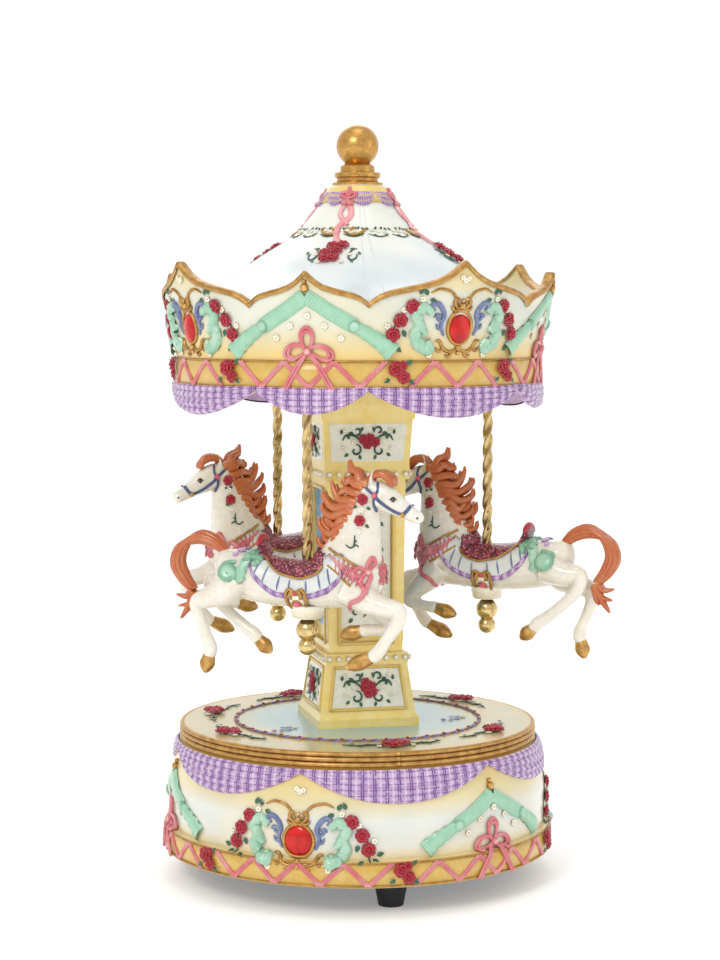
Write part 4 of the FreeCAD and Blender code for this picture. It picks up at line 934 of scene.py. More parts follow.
def build_valance_back():
    """The plain inside of the valance, behind the swags."""
    shell = Shell()
    steps = 240
    columns = []
    for step in range(steps):
        turn = 360 * step / steps
        from_bow = (turn - BOW_TURNS[0] + 45) % 90 - 45
        if abs(from_bow) <= HALF_BOW:
            share, sag = abs(from_bow) / HALF_BOW, 5.4
        else:
            share, sag = (45 - abs(from_bow)) / HALF_JEWEL, 6.5
        low = RIM_BOTTOM - 0.6 - 1.4 - sag * (1 - share ** 2.1)
        columns.append([round_point(RIM_FOOT - 0.2, turn, RIM_BOTTOM - 0.6),
                        round_point(RIM_FOOT - 0.1, turn, low),
                        round_point(RIM_FOOT - 1.2, turn, low),
                        round_point(RIM_FOOT - 1.2, turn, RIM_BOTTOM - 0.6)])
    shell.add([point for column in columns for point in column],
              grid_faces(steps, 4, closed_rows=True, closed_columns=True))
    piece = shell.make("valance_back", FINISH["lilac"][0], "carousel", "purple_resin")
    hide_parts("canopy_valance")


def build_roof_trim():
    """Seams, the small cap's swags and bows, the ring of gold scrolls and the hanging rose bunches."""
    trim = Trim("carousel")
    cap_low = ROOF_TOP - 5.0
    ring = ROOF_TOP - 13.3
    for turn in BOW_TURNS + JEWEL_TURNS:
        seam = turn + (HALF_BOW + 6 if turn in BOW_TURNS else -HALF_JEWEL)
        place = wall(roof_radius_at, seam)
        path, normals = wall_path(place, [(0, ROOF_EDGE + 0.6), (0, ROOF_EDGE + 9), (0, ROOF_EDGE + 16),
                                          (0, cap_low)], 0.0)
        tube(trim["roof_seam"], path, 0.16, 6, 0.6, normals)
    for turn in BOW_TURNS:
        place = wall(roof_radius_at, turn)
        for half in (-1, 1):
            swag(trim, roof_radius_at, turn + (0 if half > 0 else -45), turn + (45 if half > 0 else 0),
                 ROOF_TOP - 1.6, 3.0, 0.7, rolls=3)
        for across, rise in ((-1.6, 1.0), (1.6, 1.0), (0, 2.0), (-1.0, -1.2), (1.0, -1.2)):
            vine(trim, place, [(0, ROOF_TOP - 4.6), (across * 1.2, ROOF_TOP - 4.6 + rise),
                               (across * 0.5, ROOF_TOP - 4.2 + rise * 1.4), (0, ROOF_TOP - 4.6)], 0.62,
                               "pink", 0.9)
        tail = [(0.3, ROOF_TOP - 5.2), (1.5, ROOF_TOP - 8.8), (-1.4, ROOF_TOP - 12.2),
                (-1.0, ROOF_TOP - 15.0),
                (0.8, ROOF_TOP - 17.0), (-0.6, ROOF_TOP - 19.4)]
        path, normals = wall_path(place, tail, 0.3, 7)
        ribbon(trim["pink"], path, normals, 1.7, lift=0.6)
        path, normals = wall_path(place, [(-0.3, ROOF_TOP - 5.2), (-1.6, ROOF_TOP - 8.4),
                                          (1.2, ROOF_TOP - 11.6)], 0.3, 7)
        ribbon(trim["pink"], path, normals, 1.4, lift=0.6)
        low = ROOF_TOP - 19.6
        rose_cluster(trim, place, [(-2.2, low), (0.6, low + 0.6), (-0.8, low + 2.0), (1.8, low + 2.2),
                                   (-1.6, low - 1.4),
                                   (0.4, low - 1.2)], 1.65)
        for side in (-1, 1):
            vine(trim, place, curl((side * 6.0, low - 0.4), 2.0, 90, side * 320), 0.3)
            leaves(trim, place, [(side * 4.2, low + 1.2, 30 if side > 0 else 150),
                                 (side * 5.4, low - 1.6, -60),
                                 (side * 7.4, low - 0.2, 100)], 1.5)
            blossoms(trim, place, [(side * 4.6, low - 0.2), (side * 3.2, low - 2.2)], 0.75)
            vine(trim, place, [(0.4 * side, ring), (side * 2.6, ring - 0.9), (side * 5.0, ring - 0.7),
                               (side * 6.2, ring + 0.5), (side * 5.0, ring + 1.0)], 0.42, "gold", 0.25)
            vine(trim, place, [(side * 0.8, ring + 0.9), (side * 2.8, ring + 0.6),
                               (side * 3.6, ring + 1.2)], 0.45,
                 "gold", 0.25)
    for index in range(16):
        place = wall(roof_radius_at, BOW_TURNS[0] + 22.5 * index + 11.25)
        for side in (-1, 1):
            leaves(trim, place, [(side * 0.8, ring + 0.6, 60), (side * 1.6, ring - 0.8, -40),
                                 (side * 2.6, ring + 0.4, 120)],
                   1.2)
        blossoms(trim, place, [(0, ring), (-1.7, ring + 0.3), (1.9, ring - 0.2)], 0.7)
        vine(trim, place, [(-3.0, ring - 0.6), (-1.0, ring - 1.3), (1.0, ring - 1.3), (3.0, ring - 0.5)],
             0.24)
    trim.make("roof", FINISH)


# ---------------------------------------------------------------- base

def build_base_trim():
    trim = Trim("base")
    rose_turns = [60.0 * index for index in range(6)]
    band(trim, base_radius, BASE_FOOT + 0.4, BASE_BAND_TOP, 0.2, rose_turns, BASE_BOW_TURNS, 27)
    middle = (BASE_FOOT + BASE_BAND_TOP) / 2
    for turn in rose_turns:
        band_roses(trim, wall(lambda height: 54.4, turn), 0.7, middle + 0.6)
    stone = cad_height("base_jewels")
    for turn in BASE_JEWEL_TURNS:
        place = wall(base_radius, turn)
        jewel_panel(trim, place, stone, (3.8, 4.1), BASE_TOP - 6.0, 1.0)
    for turn in BASE_BOW_TURNS:
        bow_panel(trim, wall(base_radius, turn), BASE_FOOT, BASE_BAND_TOP + 2.4, BASE_TOP - 9.0, 12.5, 21.5)
    for index in range(6):
        start = BASE_JEWEL_TURNS[0] + 60.0 * index
        swag(trim, base_radius, start, start + 60.0, BASE_TOP + 0.1, 7.6, 1.1)
    trim.make("base", FINISH)


def build_deck_trim():
    """Roses and vines on the painted ring, and the rope that borders the blue centre."""
    trim = Trim("base")
    flat = DECK_TOP
    rope_radius = 34.6

    def on_deck(turn):
        def place(across, along, lift=0.0):
            radius = 42.0 + along
            return round_point(radius, turn + math.degrees(across / radius), flat + lift), UP
        return place

    strands = 180
    for strand in range(3):
        path = []
        for step in range(strands * 4 + 1):
            angle = 2 * math.pi * step / (strands * 4)
            twist = angle * 60 + strand * 2 * math.pi / 3
            path.append(round_point(rope_radius + 0.3 * math.cos(twist), math.degrees(angle),
                                    flat + 0.2 + 0.25 * math.sin(twist)))
        tube(trim[("blue", "gold", "lilac")[strand]], path, 0.24, 5)
    for index in range(36):
        trim.rose(round_point(rope_radius, index * 10.0, flat + 0.5), UP, 0.5, "crimson")
    for turn in (-70.0, -13.0 + 14.0, 50.0, 120.0, 195.0, 245.0):
        place = on_deck(turn)
        for across, along in ((-2.2, 0.2), (0.6, 1.1), (2.6, -0.4), (0.2, -1.4), (-0.9, 2.0)):
            point, _ = place(across, along, 0.5)
            trim.rose(point, Vector((0, 0, 1)), 1.6, "crimson" if across < 2 else "rose_pink")
        for side in (-1, 1):
            line = [place(side * a, b, 0.25)[0] for a, b in ((2, -0.4), (6, -1.4), (10, -0.6), (14, -1.6))]
            tube(trim["leaf_green"], smooth_path(line), 0.26, 6, taper=pointed)
            for across, along, spin in ((5, -0.2, 40), (7.5, -2.0, -50), (9.5, 0.4, 60), (12, -2.2, -30),
                                        (4, 1.8, 90)):
                point, _ = place(side * across, along, 0.2)
                trim.leaf(point, UP, 1.7, math.radians(spin + turn))
            point, _ = place(side * 4.6, 1.0, 0.3)
            trim.blossom(point, UP, 0.9)
    for turn in (-62.0, 75.0, 160.0):
        centre = round_point(27.0, turn, flat)
        for across, along, spin, length in ((0, 0, 20, 3.0), (1.0, 0.4, 140, 2.4), (-0.6, -0.6, 250, 2.6),
                                            (0.6, -0.4, 320, 2.0)):
            trim.leaf(centre + Vector((across, along, 0.1)), UP, length, math.radians(spin), "blue")
        trim.blossom(centre + Vector((3.4, 1.2, 0.2)), UP, 0.9)
        trim.blossom(centre + Vector((-3.0, -1.4, 0.2)), UP, 0.8, "lilac")
    trim.make("deck", FINISH)


def deck_material():
    """Cream ring, pale blue centre with yellow tints, and gold on the ridged edge."""
    material, shader = new_material("deck_paint", (0.78, 0.66, 0.36), 0.3, coat=0.4)
    place = node(material, "ShaderNodeTexCoord")
    flatten = node(material, "ShaderNodeMapping")
    flatten.inputs["Scale"].default_value = (1, 1, 0)
    link(material, place.outputs["Object"], flatten.inputs["Vector"])
    length = node(material, "ShaderNodeVectorMath", operation="LENGTH")
    link(material, flatten.outputs["Vector"], length.inputs[0])
    spread = node(material, "ShaderNodeMapRange")
    spread.inputs["From Max"].default_value = 50.0 * MM
    link(material, length.outputs["Value"], spread.inputs["Value"])
    # The ring's dull gold-grey is its paint, darkened further as painted shade under the canopy.
    rings = ramp(material, spread.outputs["Result"], [
        (0.30, (0.34, 0.54, 0.66)), (0.52, (0.42, 0.58, 0.64)), (0.66, (0.60, 0.60, 0.40)),
        (0.72, (0.66, 0.54, 0.24)),
        (0.86, (0.62, 0.56, 0.34)), (0.975, (0.66, 0.50, 0.20)), (0.985, (0.62, 0.38, 0.12))])
    patches = ramp(material, noise(material, 55.0, 3.0),
                   [(0.4, (0.80, 0.90, 0.86)), (0.62, (1.0, 0.94, 0.74))])
    link(material, mix(material, rings, patches, 0.7, "MULTIPLY"), shader.inputs["Base Color"])
    bump(material, shader, noise(material, 600.0, 3.0), 0.15, 0.0002)
    return material


def build_deck_edge():
    """Gold on the deck's three ridges."""
    trim = Trim("base")
    radius = 49.75
    for height, fat in ((DECK_TOP - 0.55, 0.62), (DECK_TOP - 1.9, 0.72), (DECK_TOP - 3.4, 0.78)):
        path = [round_point(radius, 360 * step / 240, height) for step in range(241)]
        tube(trim["gold"], path, fat, 8)
    trim.make("deck_edge", FINISH)


# ---------------------------------------------------------------- column

def column_face(quarter, low_half, top_half, low, top):
    """Places on one side of the square column: across in mm, height in mm, lift in mm."""
    turn = 90.0 * quarter
    slope = (top_half - low_half) / (top - low)

    def place(across, height, lift=0.0):
        half = low_half + slope * (height - low)
        flat_out = round_point(1, turn, 0)
        side = round_point(1, turn + 90, 0)
        out = (flat_out - UP * slope).normalized()
        return flat_out * half + side * across + UP * height + out * lift, out
    return place


def face_spray(trim, place, middle, roses, reach, tall):
    """A bunch of roses with curling vines, leaves and white flowers on a column panel."""
    rose_cluster(trim, place, [(across * reach, middle + up * tall) for across, up in roses], 1.25, 0.45)
    for side in (-1, 1):
        vine(trim, place, [(side * 0.2 * reach, middle), (side * 0.55 * reach, middle + 0.45 * tall),
                           (side * 0.9 * reach, middle + 0.5 * tall),
                           (side * 1.05 * reach, middle + 0.15 * tall)], 0.34,
             lift=0.3)
        vine(trim, place, curl((side * 0.5 * reach, middle - 0.5 * tall), 0.30 * tall + 0.5, 90,
                               side * 330), 0.32, lift=0.3)
        vine(trim, place, curl((side * 0.45 * reach, middle + 0.78 * tall), 0.24 * tall + 0.4, 200,
                               -side * 320), 0.32,
             lift=0.3)
        blossoms(trim, place, [(side * 0.95 * reach, middle + 0.85 * tall),
                               (side * 1.0 * reach, middle - 0.35 * tall),
                               (side * 0.6 * reach, middle + 0.1 * tall)], 0.75)
        for across, up, spin in ((0.75, 0.25, 50), (0.8, -0.7, -40), (1.1, 0.55, 90), (0.3, 0.75, 120),
                                 (0.35, -0.8, 250),
                                 (0.6, 0.62, 10)):
            leaves(trim, place, [(side * across * reach, middle + up * tall,
                                  spin if side > 0 else 180 - spin)], 1.5)


def build_column():
    """Yellow corner posts, cream and blue panels, rose sprays and rows of pearls, over the CAD column."""
    trim = Trim("base")
    panels = {"cream": Shell(), "sky": Shell()}
    pedestal_low, pedestal_high = box_mm("column_pedestal")
    shaft_low, shaft_high = box_mm("column_shaft")
    capital_low, _ = box_mm("column_capital")
    plinth_top = pedestal_low.z + 3.9
    pedestal_top = pedestal_high.z - 3.0
    capital_start = capital_low.z + 3.7
    capital_top = capital_start + 13.0
    for quarter in range(4):
        lower = column_face(quarter, 13.45, 11.65, plinth_top, pedestal_top)
        frame_at(trim["butter"], lower, 11.0, 9.4, plinth_top + 1.0, pedestal_top - 0.8)
        cream_taper(panels["cream"], lower, 10.3, 8.9, plinth_top + 1.6, pedestal_top - 1.4)
        face_spray(trim, lower, plinth_top + 6.6, [(-0.12, 0.1), (0.14, 0.2), (0.02, -0.25), (0.2, -0.15),
                                                   (-0.1, 0.42)],
                   6.6, 4.4)
        upper = column_face(quarter, 12.0, 12.8, capital_start, capital_top)
        cream_taper(panels["cream"], upper, 10.2, 11.0, capital_start + 1.4, capital_top - 1.2)
        face_spray(trim, upper, capital_start + 6.6,
                   [(-0.2, 0.25), (0.08, 0.3), (-0.02, -0.1), (0.3, 0.05)], 6.8, 4.2)
        shaft = column_face(quarter, 10.5, 11.2, shaft_low.z, shaft_high.z)
        width = 7.0
        colour = "cream" if quarter % 2 == 0 else "sky"
        cream_taper(panels[colour], shaft, width, width, shaft_low.z + 3.4, shaft_high.z - 3.4, -0.55)
        frame_at(trim["butter"], shaft, width + 0.7, width + 0.7, shaft_low.z + 2.7, shaft_high.z - 2.7, 0.5)
        if colour == "cream":
            shaft_spray(trim, shaft, shaft_low.z + 10, shaft_high.z - 8)
        for base_height, half in ((pedestal_high.z - 1.3, 11.8), (capital_low.z + 1.5, 12.1)):
            edge = column_face(quarter, half, half, base_height - 1, base_height + 1)
            for index in range(9):
                point, out = edge(-10.8 + 2.7 * index, base_height, 0.35)
                ball(trim["pearl"], point, 0.82, 1.0, out, 7, 10)
        corner = round_point(11.8 * math.sqrt(2), 90.0 * quarter + 45, pedestal_high.z - 1.3)
        ball(trim["pearl"], corner, 0.85)
        corner = round_point(12.1 * math.sqrt(2), 90.0 * quarter + 45, capital_low.z + 1.5)
        ball(trim["pearl"], corner, 0.85)
    trim.make("column", FINISH)
    panels["cream"].make("column_cream_panels", FINISH["cream"][0], "base", "ivory_resin", smooth=False)
    panels["sky"].make("column_sky_panels", FINISH["sky"][0], "base", "blue_resin", smooth=False)


def frame_at(shell, place, low_half, top_half, low, high, lift=0.15):
    """A slim raised frame round a panel."""
    corners = [(-low_half, low), (low_half, low), (top_half, high), (-top_half, high)]
    for index in range(4):
        first, second = corners[index], corners[(index + 1) % 4]
        path = [place(first[0] + (second[0] - first[0]) * share / 4,
                      first[1] + (second[1] - first[1]) * share / 4, lift)
                for share in range(5)]
        tube(shell, [point for point, _ in path], 0.42, 6, 0.8, [out for _, out in path])


def cream_taper(shell, place, low_half, top_half, low, high, lift=0.12):
    points = [place(-low_half, low, lift)[0], place(low_half, low, lift)[0], place(top_half, high, lift)[0],
              place(-top_half, high, lift)[0]]
    back = [place(-low_half, low, lift - 0.3)[0], place(low_half, low, lift - 0.3)[0],
            place(top_half, high, lift - 0.3)[0],
            place(-top_half, high, lift - 0.3)[0]]
    shell.add(points + back, [(0, 1, 2, 3), (7, 6, 5, 4), (0, 4, 5, 1), (1, 5, 6, 2), (2, 6, 7, 3),
                              (3, 7, 4, 0)])


def shaft_spray(trim, place, low, high):
    """The upright spray of roses and vines on a cream shaft panel."""
    middle = (low + high) / 2
    roses = [(0.2, middle + 8.4), (-0.6, middle + 5.6), (0.8, middle + 3.0), (0, middle),
             (-0.8, middle - 3.2),
             (0.6, middle - 6.0), (0, middle - 9.0)]
    rose_cluster(trim, place, roses, 1.3, -0.1)
    vine(trim, place, [(0.4, high), (-0.8, middle + 12), (0.6, middle + 4), (-0.5, middle - 6),
                       (0.4, middle - 13),
                       (-0.6, low)], 0.34, lift=-0.3)
    for side in (-1, 1):
        for rise in (13, 6, -1, -8, -14):
            vine(trim, place, curl((side * 2.7, middle + rise), 1.6, 180 if side > 0 else 0, -side * 300),
                 0.28, lift=-0.3)
            leaves(trim, lambda a, h, l: place(a, h, l - 0.45),
                   [(side * 1.6, middle + rise + 2.2, 40 if side > 0 else 140),
                    (side * 3.8, middle + rise - 1.6, -50 if side > 0 else 230)], 1.7)
            blossoms(trim, lambda a, h, l: place(a, h, l - 0.4), [(side * 4.2, middle + rise + 1.2)], 0.75)


# ---------------------------------------------------------------- poles

def build_poles():
    """Each rod is three strands twisted together, over the CAD rod."""
    for number in (1, 2, 3):
        low, high = box_mm(f"pole_{number}")
        centre = (low + high) / 2
        shell = Shell()
        rows = 420
        sides = 24
        points = []
        for row in range(rows + 1):
            height = low.z + (high.z - low.z) * row / rows
            twist = (height - low.z) / 2.4
            for side in range(sides):
                angle = 2 * math.pi * side / sides
                radius = 1.22 + 0.24 * math.cos(3 * (angle - twist))
                points.append(Vector((centre.x + radius * math.cos(angle),
                                      centre.y + radius * math.sin(angle), height)))
        faces = grid_faces(rows + 1, sides, closed_columns=True)
        faces.append(tuple(range(sides))[::-1])
        faces.append(tuple(range(rows * sides, (rows + 1) * sides)))
        shell.add(points, faces)
        rod = shell.make(f"twisted_rod_{number}", BRASS, f"horse_body_{number}", "brass")
        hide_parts(f"pole_{number}")


# ---------------------------------------------------------------- horses

# Rows of (forward, up, half depth, half width, lean, side) in mm: forward from the pole, up from the saddle's
# height, lean of the section in degrees from upright, side towards the horse's left.
TRUNK = [(-26.6, -5.0, 1.2, 1.2, 0, 0), (-25.2, -5.2, 4.6, 3.6, 0, 0), (-21.5, -6.5, 6.3, 5.4, 0, 0),
         (-15.0, -7.6, 6.9, 6.0, 0, 0), (-8.0, -8.9, 6.3, 6.0, 0, 0), (0.0, -9.2, 6.2, 6.0, 0, 0),
         (8.0, -8.2, 6.9, 5.9, 0, 0), (14.0, -7.0, 7.6, 5.5, 0, 0), (19.0, -6.4, 6.2, 4.5, 0, 0),
         (21.6, -6.0, 2.4, 2.2, 0, 0)]
NECK = [(11.0, -6.0, 9.6, 5.2, 62, 0), (13.4, -1.0, 8.6, 4.9, 62, 0), (14.8, 4.0, 7.0, 4.3, 66, 0),
        (15.8, 9.0, 5.5, 3.6, 68, 0), (16.8, 13.6, 4.4, 3.1, 62, 0), (17.8, 17.4, 3.5, 2.7, 50, 0),
        (18.2, 18.8, 1.6, 1.6, 40, 0)]
HEAD = [(16.4, 17.6, 1.4, 1.4, -30, 0), (18.0, 16.8, 3.2, 2.5, -30, 0), (21.0, 15.4, 3.9, 2.7, -32, 0),
        (24.2, 13.8, 3.3, 2.4, -33, 0), (27.4, 12.0, 2.4, 1.9, -34, 0), (30.0, 10.6, 2.0, 1.8, -34, 0),
        (31.8, 9.7, 1.7, 1.6, -34, 0), (32.8, 9.2, 0.7, 0.8, -34, 0)]
LEGS = [
    # right hind, left hind, right fore, left fore
    [(-19.5, -7.5, 5.6, 3.2, 10, -2.6), (-22.5, -11.0, 4.8, 3.0, 35, -3.2),
     (-27.0, -13.2, 3.0, 2.3, 60, -3.6),
     (-30.6, -14.8, 2.3, 1.7, 78, -3.6), (-30.4, -18.4, 1.7, 1.4, 100, -3.6),
     (-28.4, -23.4, 1.5, 1.3, 112, -3.6),
     (-27.0, -27.0, 1.8, 1.5, 100, -3.6), (-27.4, -29.4, 1.5, 1.4, 82, -3.6)],
    [(-19.5, -7.5, 5.2, 3.2, 10, 2.6), (-25.0, -9.4, 3.6, 2.6, 40, 3.2), (-29.6, -9.8, 2.4, 1.9, 70, 3.6),
     (-29.0, -13.6, 1.8, 1.5, 120, 3.6), (-24.6, -18.2, 1.6, 1.3, 138, 3.6),
     (-19.6, -22.2, 1.6, 1.4, 140, 3.6),
     (-17.2, -23.8, 1.8, 1.5, 135, 3.6), (-15.6, -25.6, 1.5, 1.4, 130, 3.6)],
    [(13.0, -9.0, 5.4, 3.0, 60, -2.4), (18.0, -12.0, 3.8, 2.6, 20, -3.2), (23.0, -13.6, 2.6, 2.1, 12, -3.6),
     (27.0, -14.6, 2.3, 1.9, 40, -3.6), (27.2, -17.4, 1.9, 1.6, 80, -3.6), (24.2, -22.0, 1.5, 1.3, 60, -3.6),
     (21.4, -26.0, 1.7, 1.5, 55, -3.6), (19.6, -27.4, 1.6, 1.4, 40, -3.6)],
    [(13.0, -9.0, 5.0, 3.0, 60, 2.4), (17.6, -13.6, 3.4, 2.5, 30, 3.2), (21.6, -17.2, 2.3, 1.9, 30, 3.6),
     (23.0, -19.2, 2.0, 1.7, 70, 3.6), (20.6, -20.6, 1.6, 1.4, 100, 3.6), (17.0, -21.0, 1.4, 1.3, 100, 3.6),
     (15.0, -21.2, 1.6, 1.4, 95, 3.6), (14.0, -21.4, 1.5, 1.3, 92, 3.6)],
]
# Each hoof is (root forward, root up, tip forward, tip up, side).
HOOVES = [(-27.2, -28.4, -28.6, -34.0, -3.6), (-16.4, -24.8, -12.0, -28.6, 3.6),
          (20.2, -27.0, 12.6, -30.4, -3.6), (15.0, -21.2, 8.0, -23.0, 3.6)]
# Flame-shaped locks of the mane: root, middle and tip as (forward, up).
LOCKS = [((17.5, 19.0), (14.8, 22.0), (11.6, 22.6)), ((16.2, 18.4), (12.8, 20.4), (9.6, 18.4)),
         ((15.6, 16.2), (11.6, 17.4), (8.0, 16.2)), ((14.4, 14.0), (9.6, 14.8), (6.4, 17.4)),
         ((13.8, 12.6), (8.2, 12.6), (4.0, 14.6)), ((13.4, 11.2), (7.6, 10.2), (3.4, 11.4)),
         ((12.6, 9.0), (8.2, 7.6), (5.0, 8.8)), ((12.0, 7.0), (7.6, 5.4), (3.2, 7.4)),
         ((11.4, 5.0), (7.6, 3.2), (3.6, 3.8)), ((10.8, 3.4), (6.8, 1.4), (2.4, 2.0)),
         ((10.2, 1.6), (6.8, -0.6), (4.2, -1.8))]
TAIL = [(-23.0, -2.0), (-26.6, 1.2), (-31.6, 2.6), (-36.4, 0.4), (-38.2, -4.4), (-36.4, -8.6), (-33.6, -11.8)]
TAIL_TIPS = [[(-33.6, -11.8), (-35.6, -13.8), (-38.6, -13.4)],
             [(-33.4, -12.4), (-35.0, -16.4), (-37.4, -20.0)],
             [(-33.2, -12.2), (-34.2, -15.4), (-38.0, -16.6)],
             [(-33.0, -12.6), (-33.6, -16.4), (-34.4, -18.0)]]
LEG_FULLNESS = 1.2
SWIVELS = {1: 0.0, 2: 54.0, 3: -14.0}
SADDLE_UP = 95.3


def blend_rows(rows, steps):
    return blended([np.array(row, float) for row in rows], steps)


def loft(shell, rows, steps=4, sides=20):
    points = []
    blended = blend_rows(rows, steps)
    for forward, up, depth, width, lean, side in blended:
        angle = math.radians(lean)
        tall = Vector((-math.sin(angle), 0, math.cos(angle)))
        centre = Vector((forward, side, up))
        for step in range(sides):
            turn = 2 * math.pi * step / sides
            points.append(centre + tall * depth * math.cos(turn) + Vector((0, 1, 0)) * width * math.sin(turn))
    faces = grid_faces(len(blended), sides, closed_columns=True)
    faces.append(tuple(range(sides))[::-1])
    faces.append(tuple(range((len(blended) - 1) * sides, len(blended) * sides)))
    shell.add(points, faces)


def leg_path(rows):
    """Sections square to the leg's own run, with even rings for legs that bend sharply."""
    return [(Vector((row[0], row[5], row[1])), (row[2] + row[3]) / 2 * LEG_FULLNESS) for row in rows]


def bumpy_tube(shell, knots, steps=5, sides=14):
    """A round limb through (centre, radius) knots."""
    rows = blend_rows([(*centre, radius) for centre, radius in knots], steps)
    path = [Vector(row[:3]) for row in rows]
    radii = [row[3] for row in rows]
    top = max(radii)
    count = len(path)
    tube(shell, path, top, sides, taper=lambda t: radii[min(int(round(t * (count - 1))), count - 1)] / top)


def sculpt_body():
    """Trunk, neck, head, ears and legs melted into one skin; returned as points and faces in mm."""
    rough = Shell()
    loft(rough, TRUNK)
    loft(rough, NECK)
    loft(rough, HEAD)
    for rows in LEGS:
        bumpy_tube(rough, leg_path(rows))
    for side in (-1, 1):
        ball(rough, Vector((-20.0, side * 2.6, -7.4)), 4.4, 1.2)
        ball(rough, Vector((14.4, side * 2.3, -7.4)), 4.6, 1.15)
        ball(rough, Vector((21.0, side * 1.5, 14.4)), 1.9)
        ball(rough, Vector((31.4, side * 0.9, 9.4)), 1.15)
        ear = [Vector((18.6, side * 1.3, 18.4)), Vector((18.9, side * 1.7, 20.6)),
               Vector((19.8, side * 1.6, 23.0))]
        tube(rough, smooth_path(ear, 4), 1.15, 8, 0.7, taper=lambda t: 1.0 - 0.8 * t)
    mesh = bpy.data.meshes.new("horse_rough")
    mesh.from_pydata([tuple(point) for point in rough.points], [], rough.faces)
    lump = bpy.data.objects.new("horse_rough", mesh)
    bpy.context.scene.collection.objects.link(lump)
    remesh = lump.modifiers.new("melt", "REMESH")
    remesh.mode = "VOXEL"
    remesh.voxel_size = 0.4
    relax = lump.modifiers.new("relax", "SMOOTH")
    relax.iterations = 7
    relax.factor = 0.5
    smooth = lump.evaluated_get(bpy.context.evaluated_depsgraph_get()).to_mesh()
    points = [vertex.co.copy() for vertex in smooth.vertices]
    faces = [tuple(polygon.vertices) for polygon in smooth.polygons]
    bpy.data.objects.remove(lump)
    bpy.data.meshes.remove(mesh)
    return points, faces


HORSE_POINTS, HORSE_FACES = sculpt_body()
HORSE_SKIN = BVHTree.FromPolygons(HORSE_POINTS, HORSE_FACES)


def flank(forward, up, side, lift=0.0):
    """The point on one flank at a place seen from the side, and the way out of the skin there."""
    start = Vector((forward, side * 30, up))
    hit, out, _, _ = HORSE_SKIN.ray_cast(start, Vector((0, -side, 0)))
    if hit is None:
        hit, out, _, _ = HORSE_SKIN.find_nearest(Vector((forward, side * 4, up)))
    if out.y * side < 0:
        out = -out
    return hit + out * lift, out


def flank_path(pairs, side, lift=0.2, steps=6):
    line = smooth_path([Vector((a, b, 0)) for a, b in pairs], steps)
    found = [flank(point.x, point.y, side, lift) for point in line]
    return [point for point, _ in found], [out for _, out in found]


def girth(forward, angle, lift=0.0):
    """A point on the trunk's skin at an angle from straight up (towards the left), and the way out."""
    centre = float(np.interp(forward, [row[0] for row in TRUNK], [row[1] for row in TRUNK]))
    heading = Vector((0, math.sin(angle), math.cos(angle)))
    start = Vector((forward, 0, centre)) + heading * 9.4
    hit, out, _, _ = HORSE_SKIN.ray_cast(start, -heading)
    if hit is None:
        hit, out = start - heading * 3, heading
    if out.dot(heading) < 0:
        out = -out
    return hit + out * lift, out


def cloth(shell, outline, lift, rows=44, columns=34, scale=0.5):
    """A cloth over the back: outline gives the reach down each flank, in radians, at each forward place."""
    places = [place for place, _ in outline]
    reaches = [reach for _, reach in outline]
    points = []
    weave = []
    for row in range(rows + 1):
        forward = places[0] + (places[-1] - places[0]) * row / rows
        reach = float(np.interp(forward, places, reaches))
        for column in range(columns + 1):
            share = column / columns * 2 - 1
            point, _ = girth(forward, reach * share, lift if 0 < row < rows and abs(share) < 1 else -0.1)
            points.append(point)
            weave.append((forward * scale + 20, reach * share * 6 * scale + 20))
    shell.add(points, grid_faces(rows + 1, columns + 1), weave)


def cloth_border(shell, outline, width, lift, side, steps=60):
    """The band along a cloth's lower edge on one flank."""
    places = [place for place, _ in outline]
    reaches = [reach for _, reach in outline]
    points = []
    weave = []
    for step in range(steps + 1):
        forward = places[0] + (places[-1] - places[0]) * step / steps
        reach = float(np.interp(forward, places, reaches))
        for row in range(6):
            back = width / 6.2 * row / 5
            rise = lift + (0.45 * math.sin(math.pi * row / 5) if 0 < row < 5 else -0.4)
            point, _ = girth(forward, side * (reach + 0.03 - back), rise)
            points.append(point)
            weave.append((forward * 0.6, row * 0.55 + 1.2))
    shell.add(points, grid_faces(steps + 1, 6), weave)


def frilled_curl(shell, centre, side, reach, start, sweep, fat=1.0, turns_in=0.25):
    """A fat frilled ribbon rolled up on the flank."""
    pairs = curl(centre, reach, start, sweep, turns_in)
    path, normals = flank_path(pairs, side, 0.3, 6)
    tube(shell, path, fat, 10, 0.8, normals, taper=lambda t: (0.9 + 0.1 * math.sin(t * 60)) * (1 - 0.35 * t))


def blanket_outline():
    return [(-14.8, 1.05), (-13.4, 1.45), (-10.0, 1.86), (-6.6, 2.10), (-1.0, 2.17), (4.0, 2.12), (8.0, 1.95),
            (10.6, 1.65), (12.6, 1.25)]


def saddle_outline():
    return [(-11.8, 0.36), (-10.4, 0.52), (-8.4, 0.80), (-6.0, 1.02), (-3.0, 1.14), (0.0, 1.20), (3.0, 1.16),
            (5.2, 1.02), (6.6, 0.72)]


def horse_trim():
    """Everything on the horse in its own axes, colour by colour."""
    trim = Trim("horse")
    build_hair(trim)
    build_hooves(trim)
    build_saddle(trim)
    for side in (-1, 1):
        build_bridle(trim, side)
        build_breast(trim, side)
        build_haunch(trim, side)
        build_neck_flowers(trim, side)
    return trim


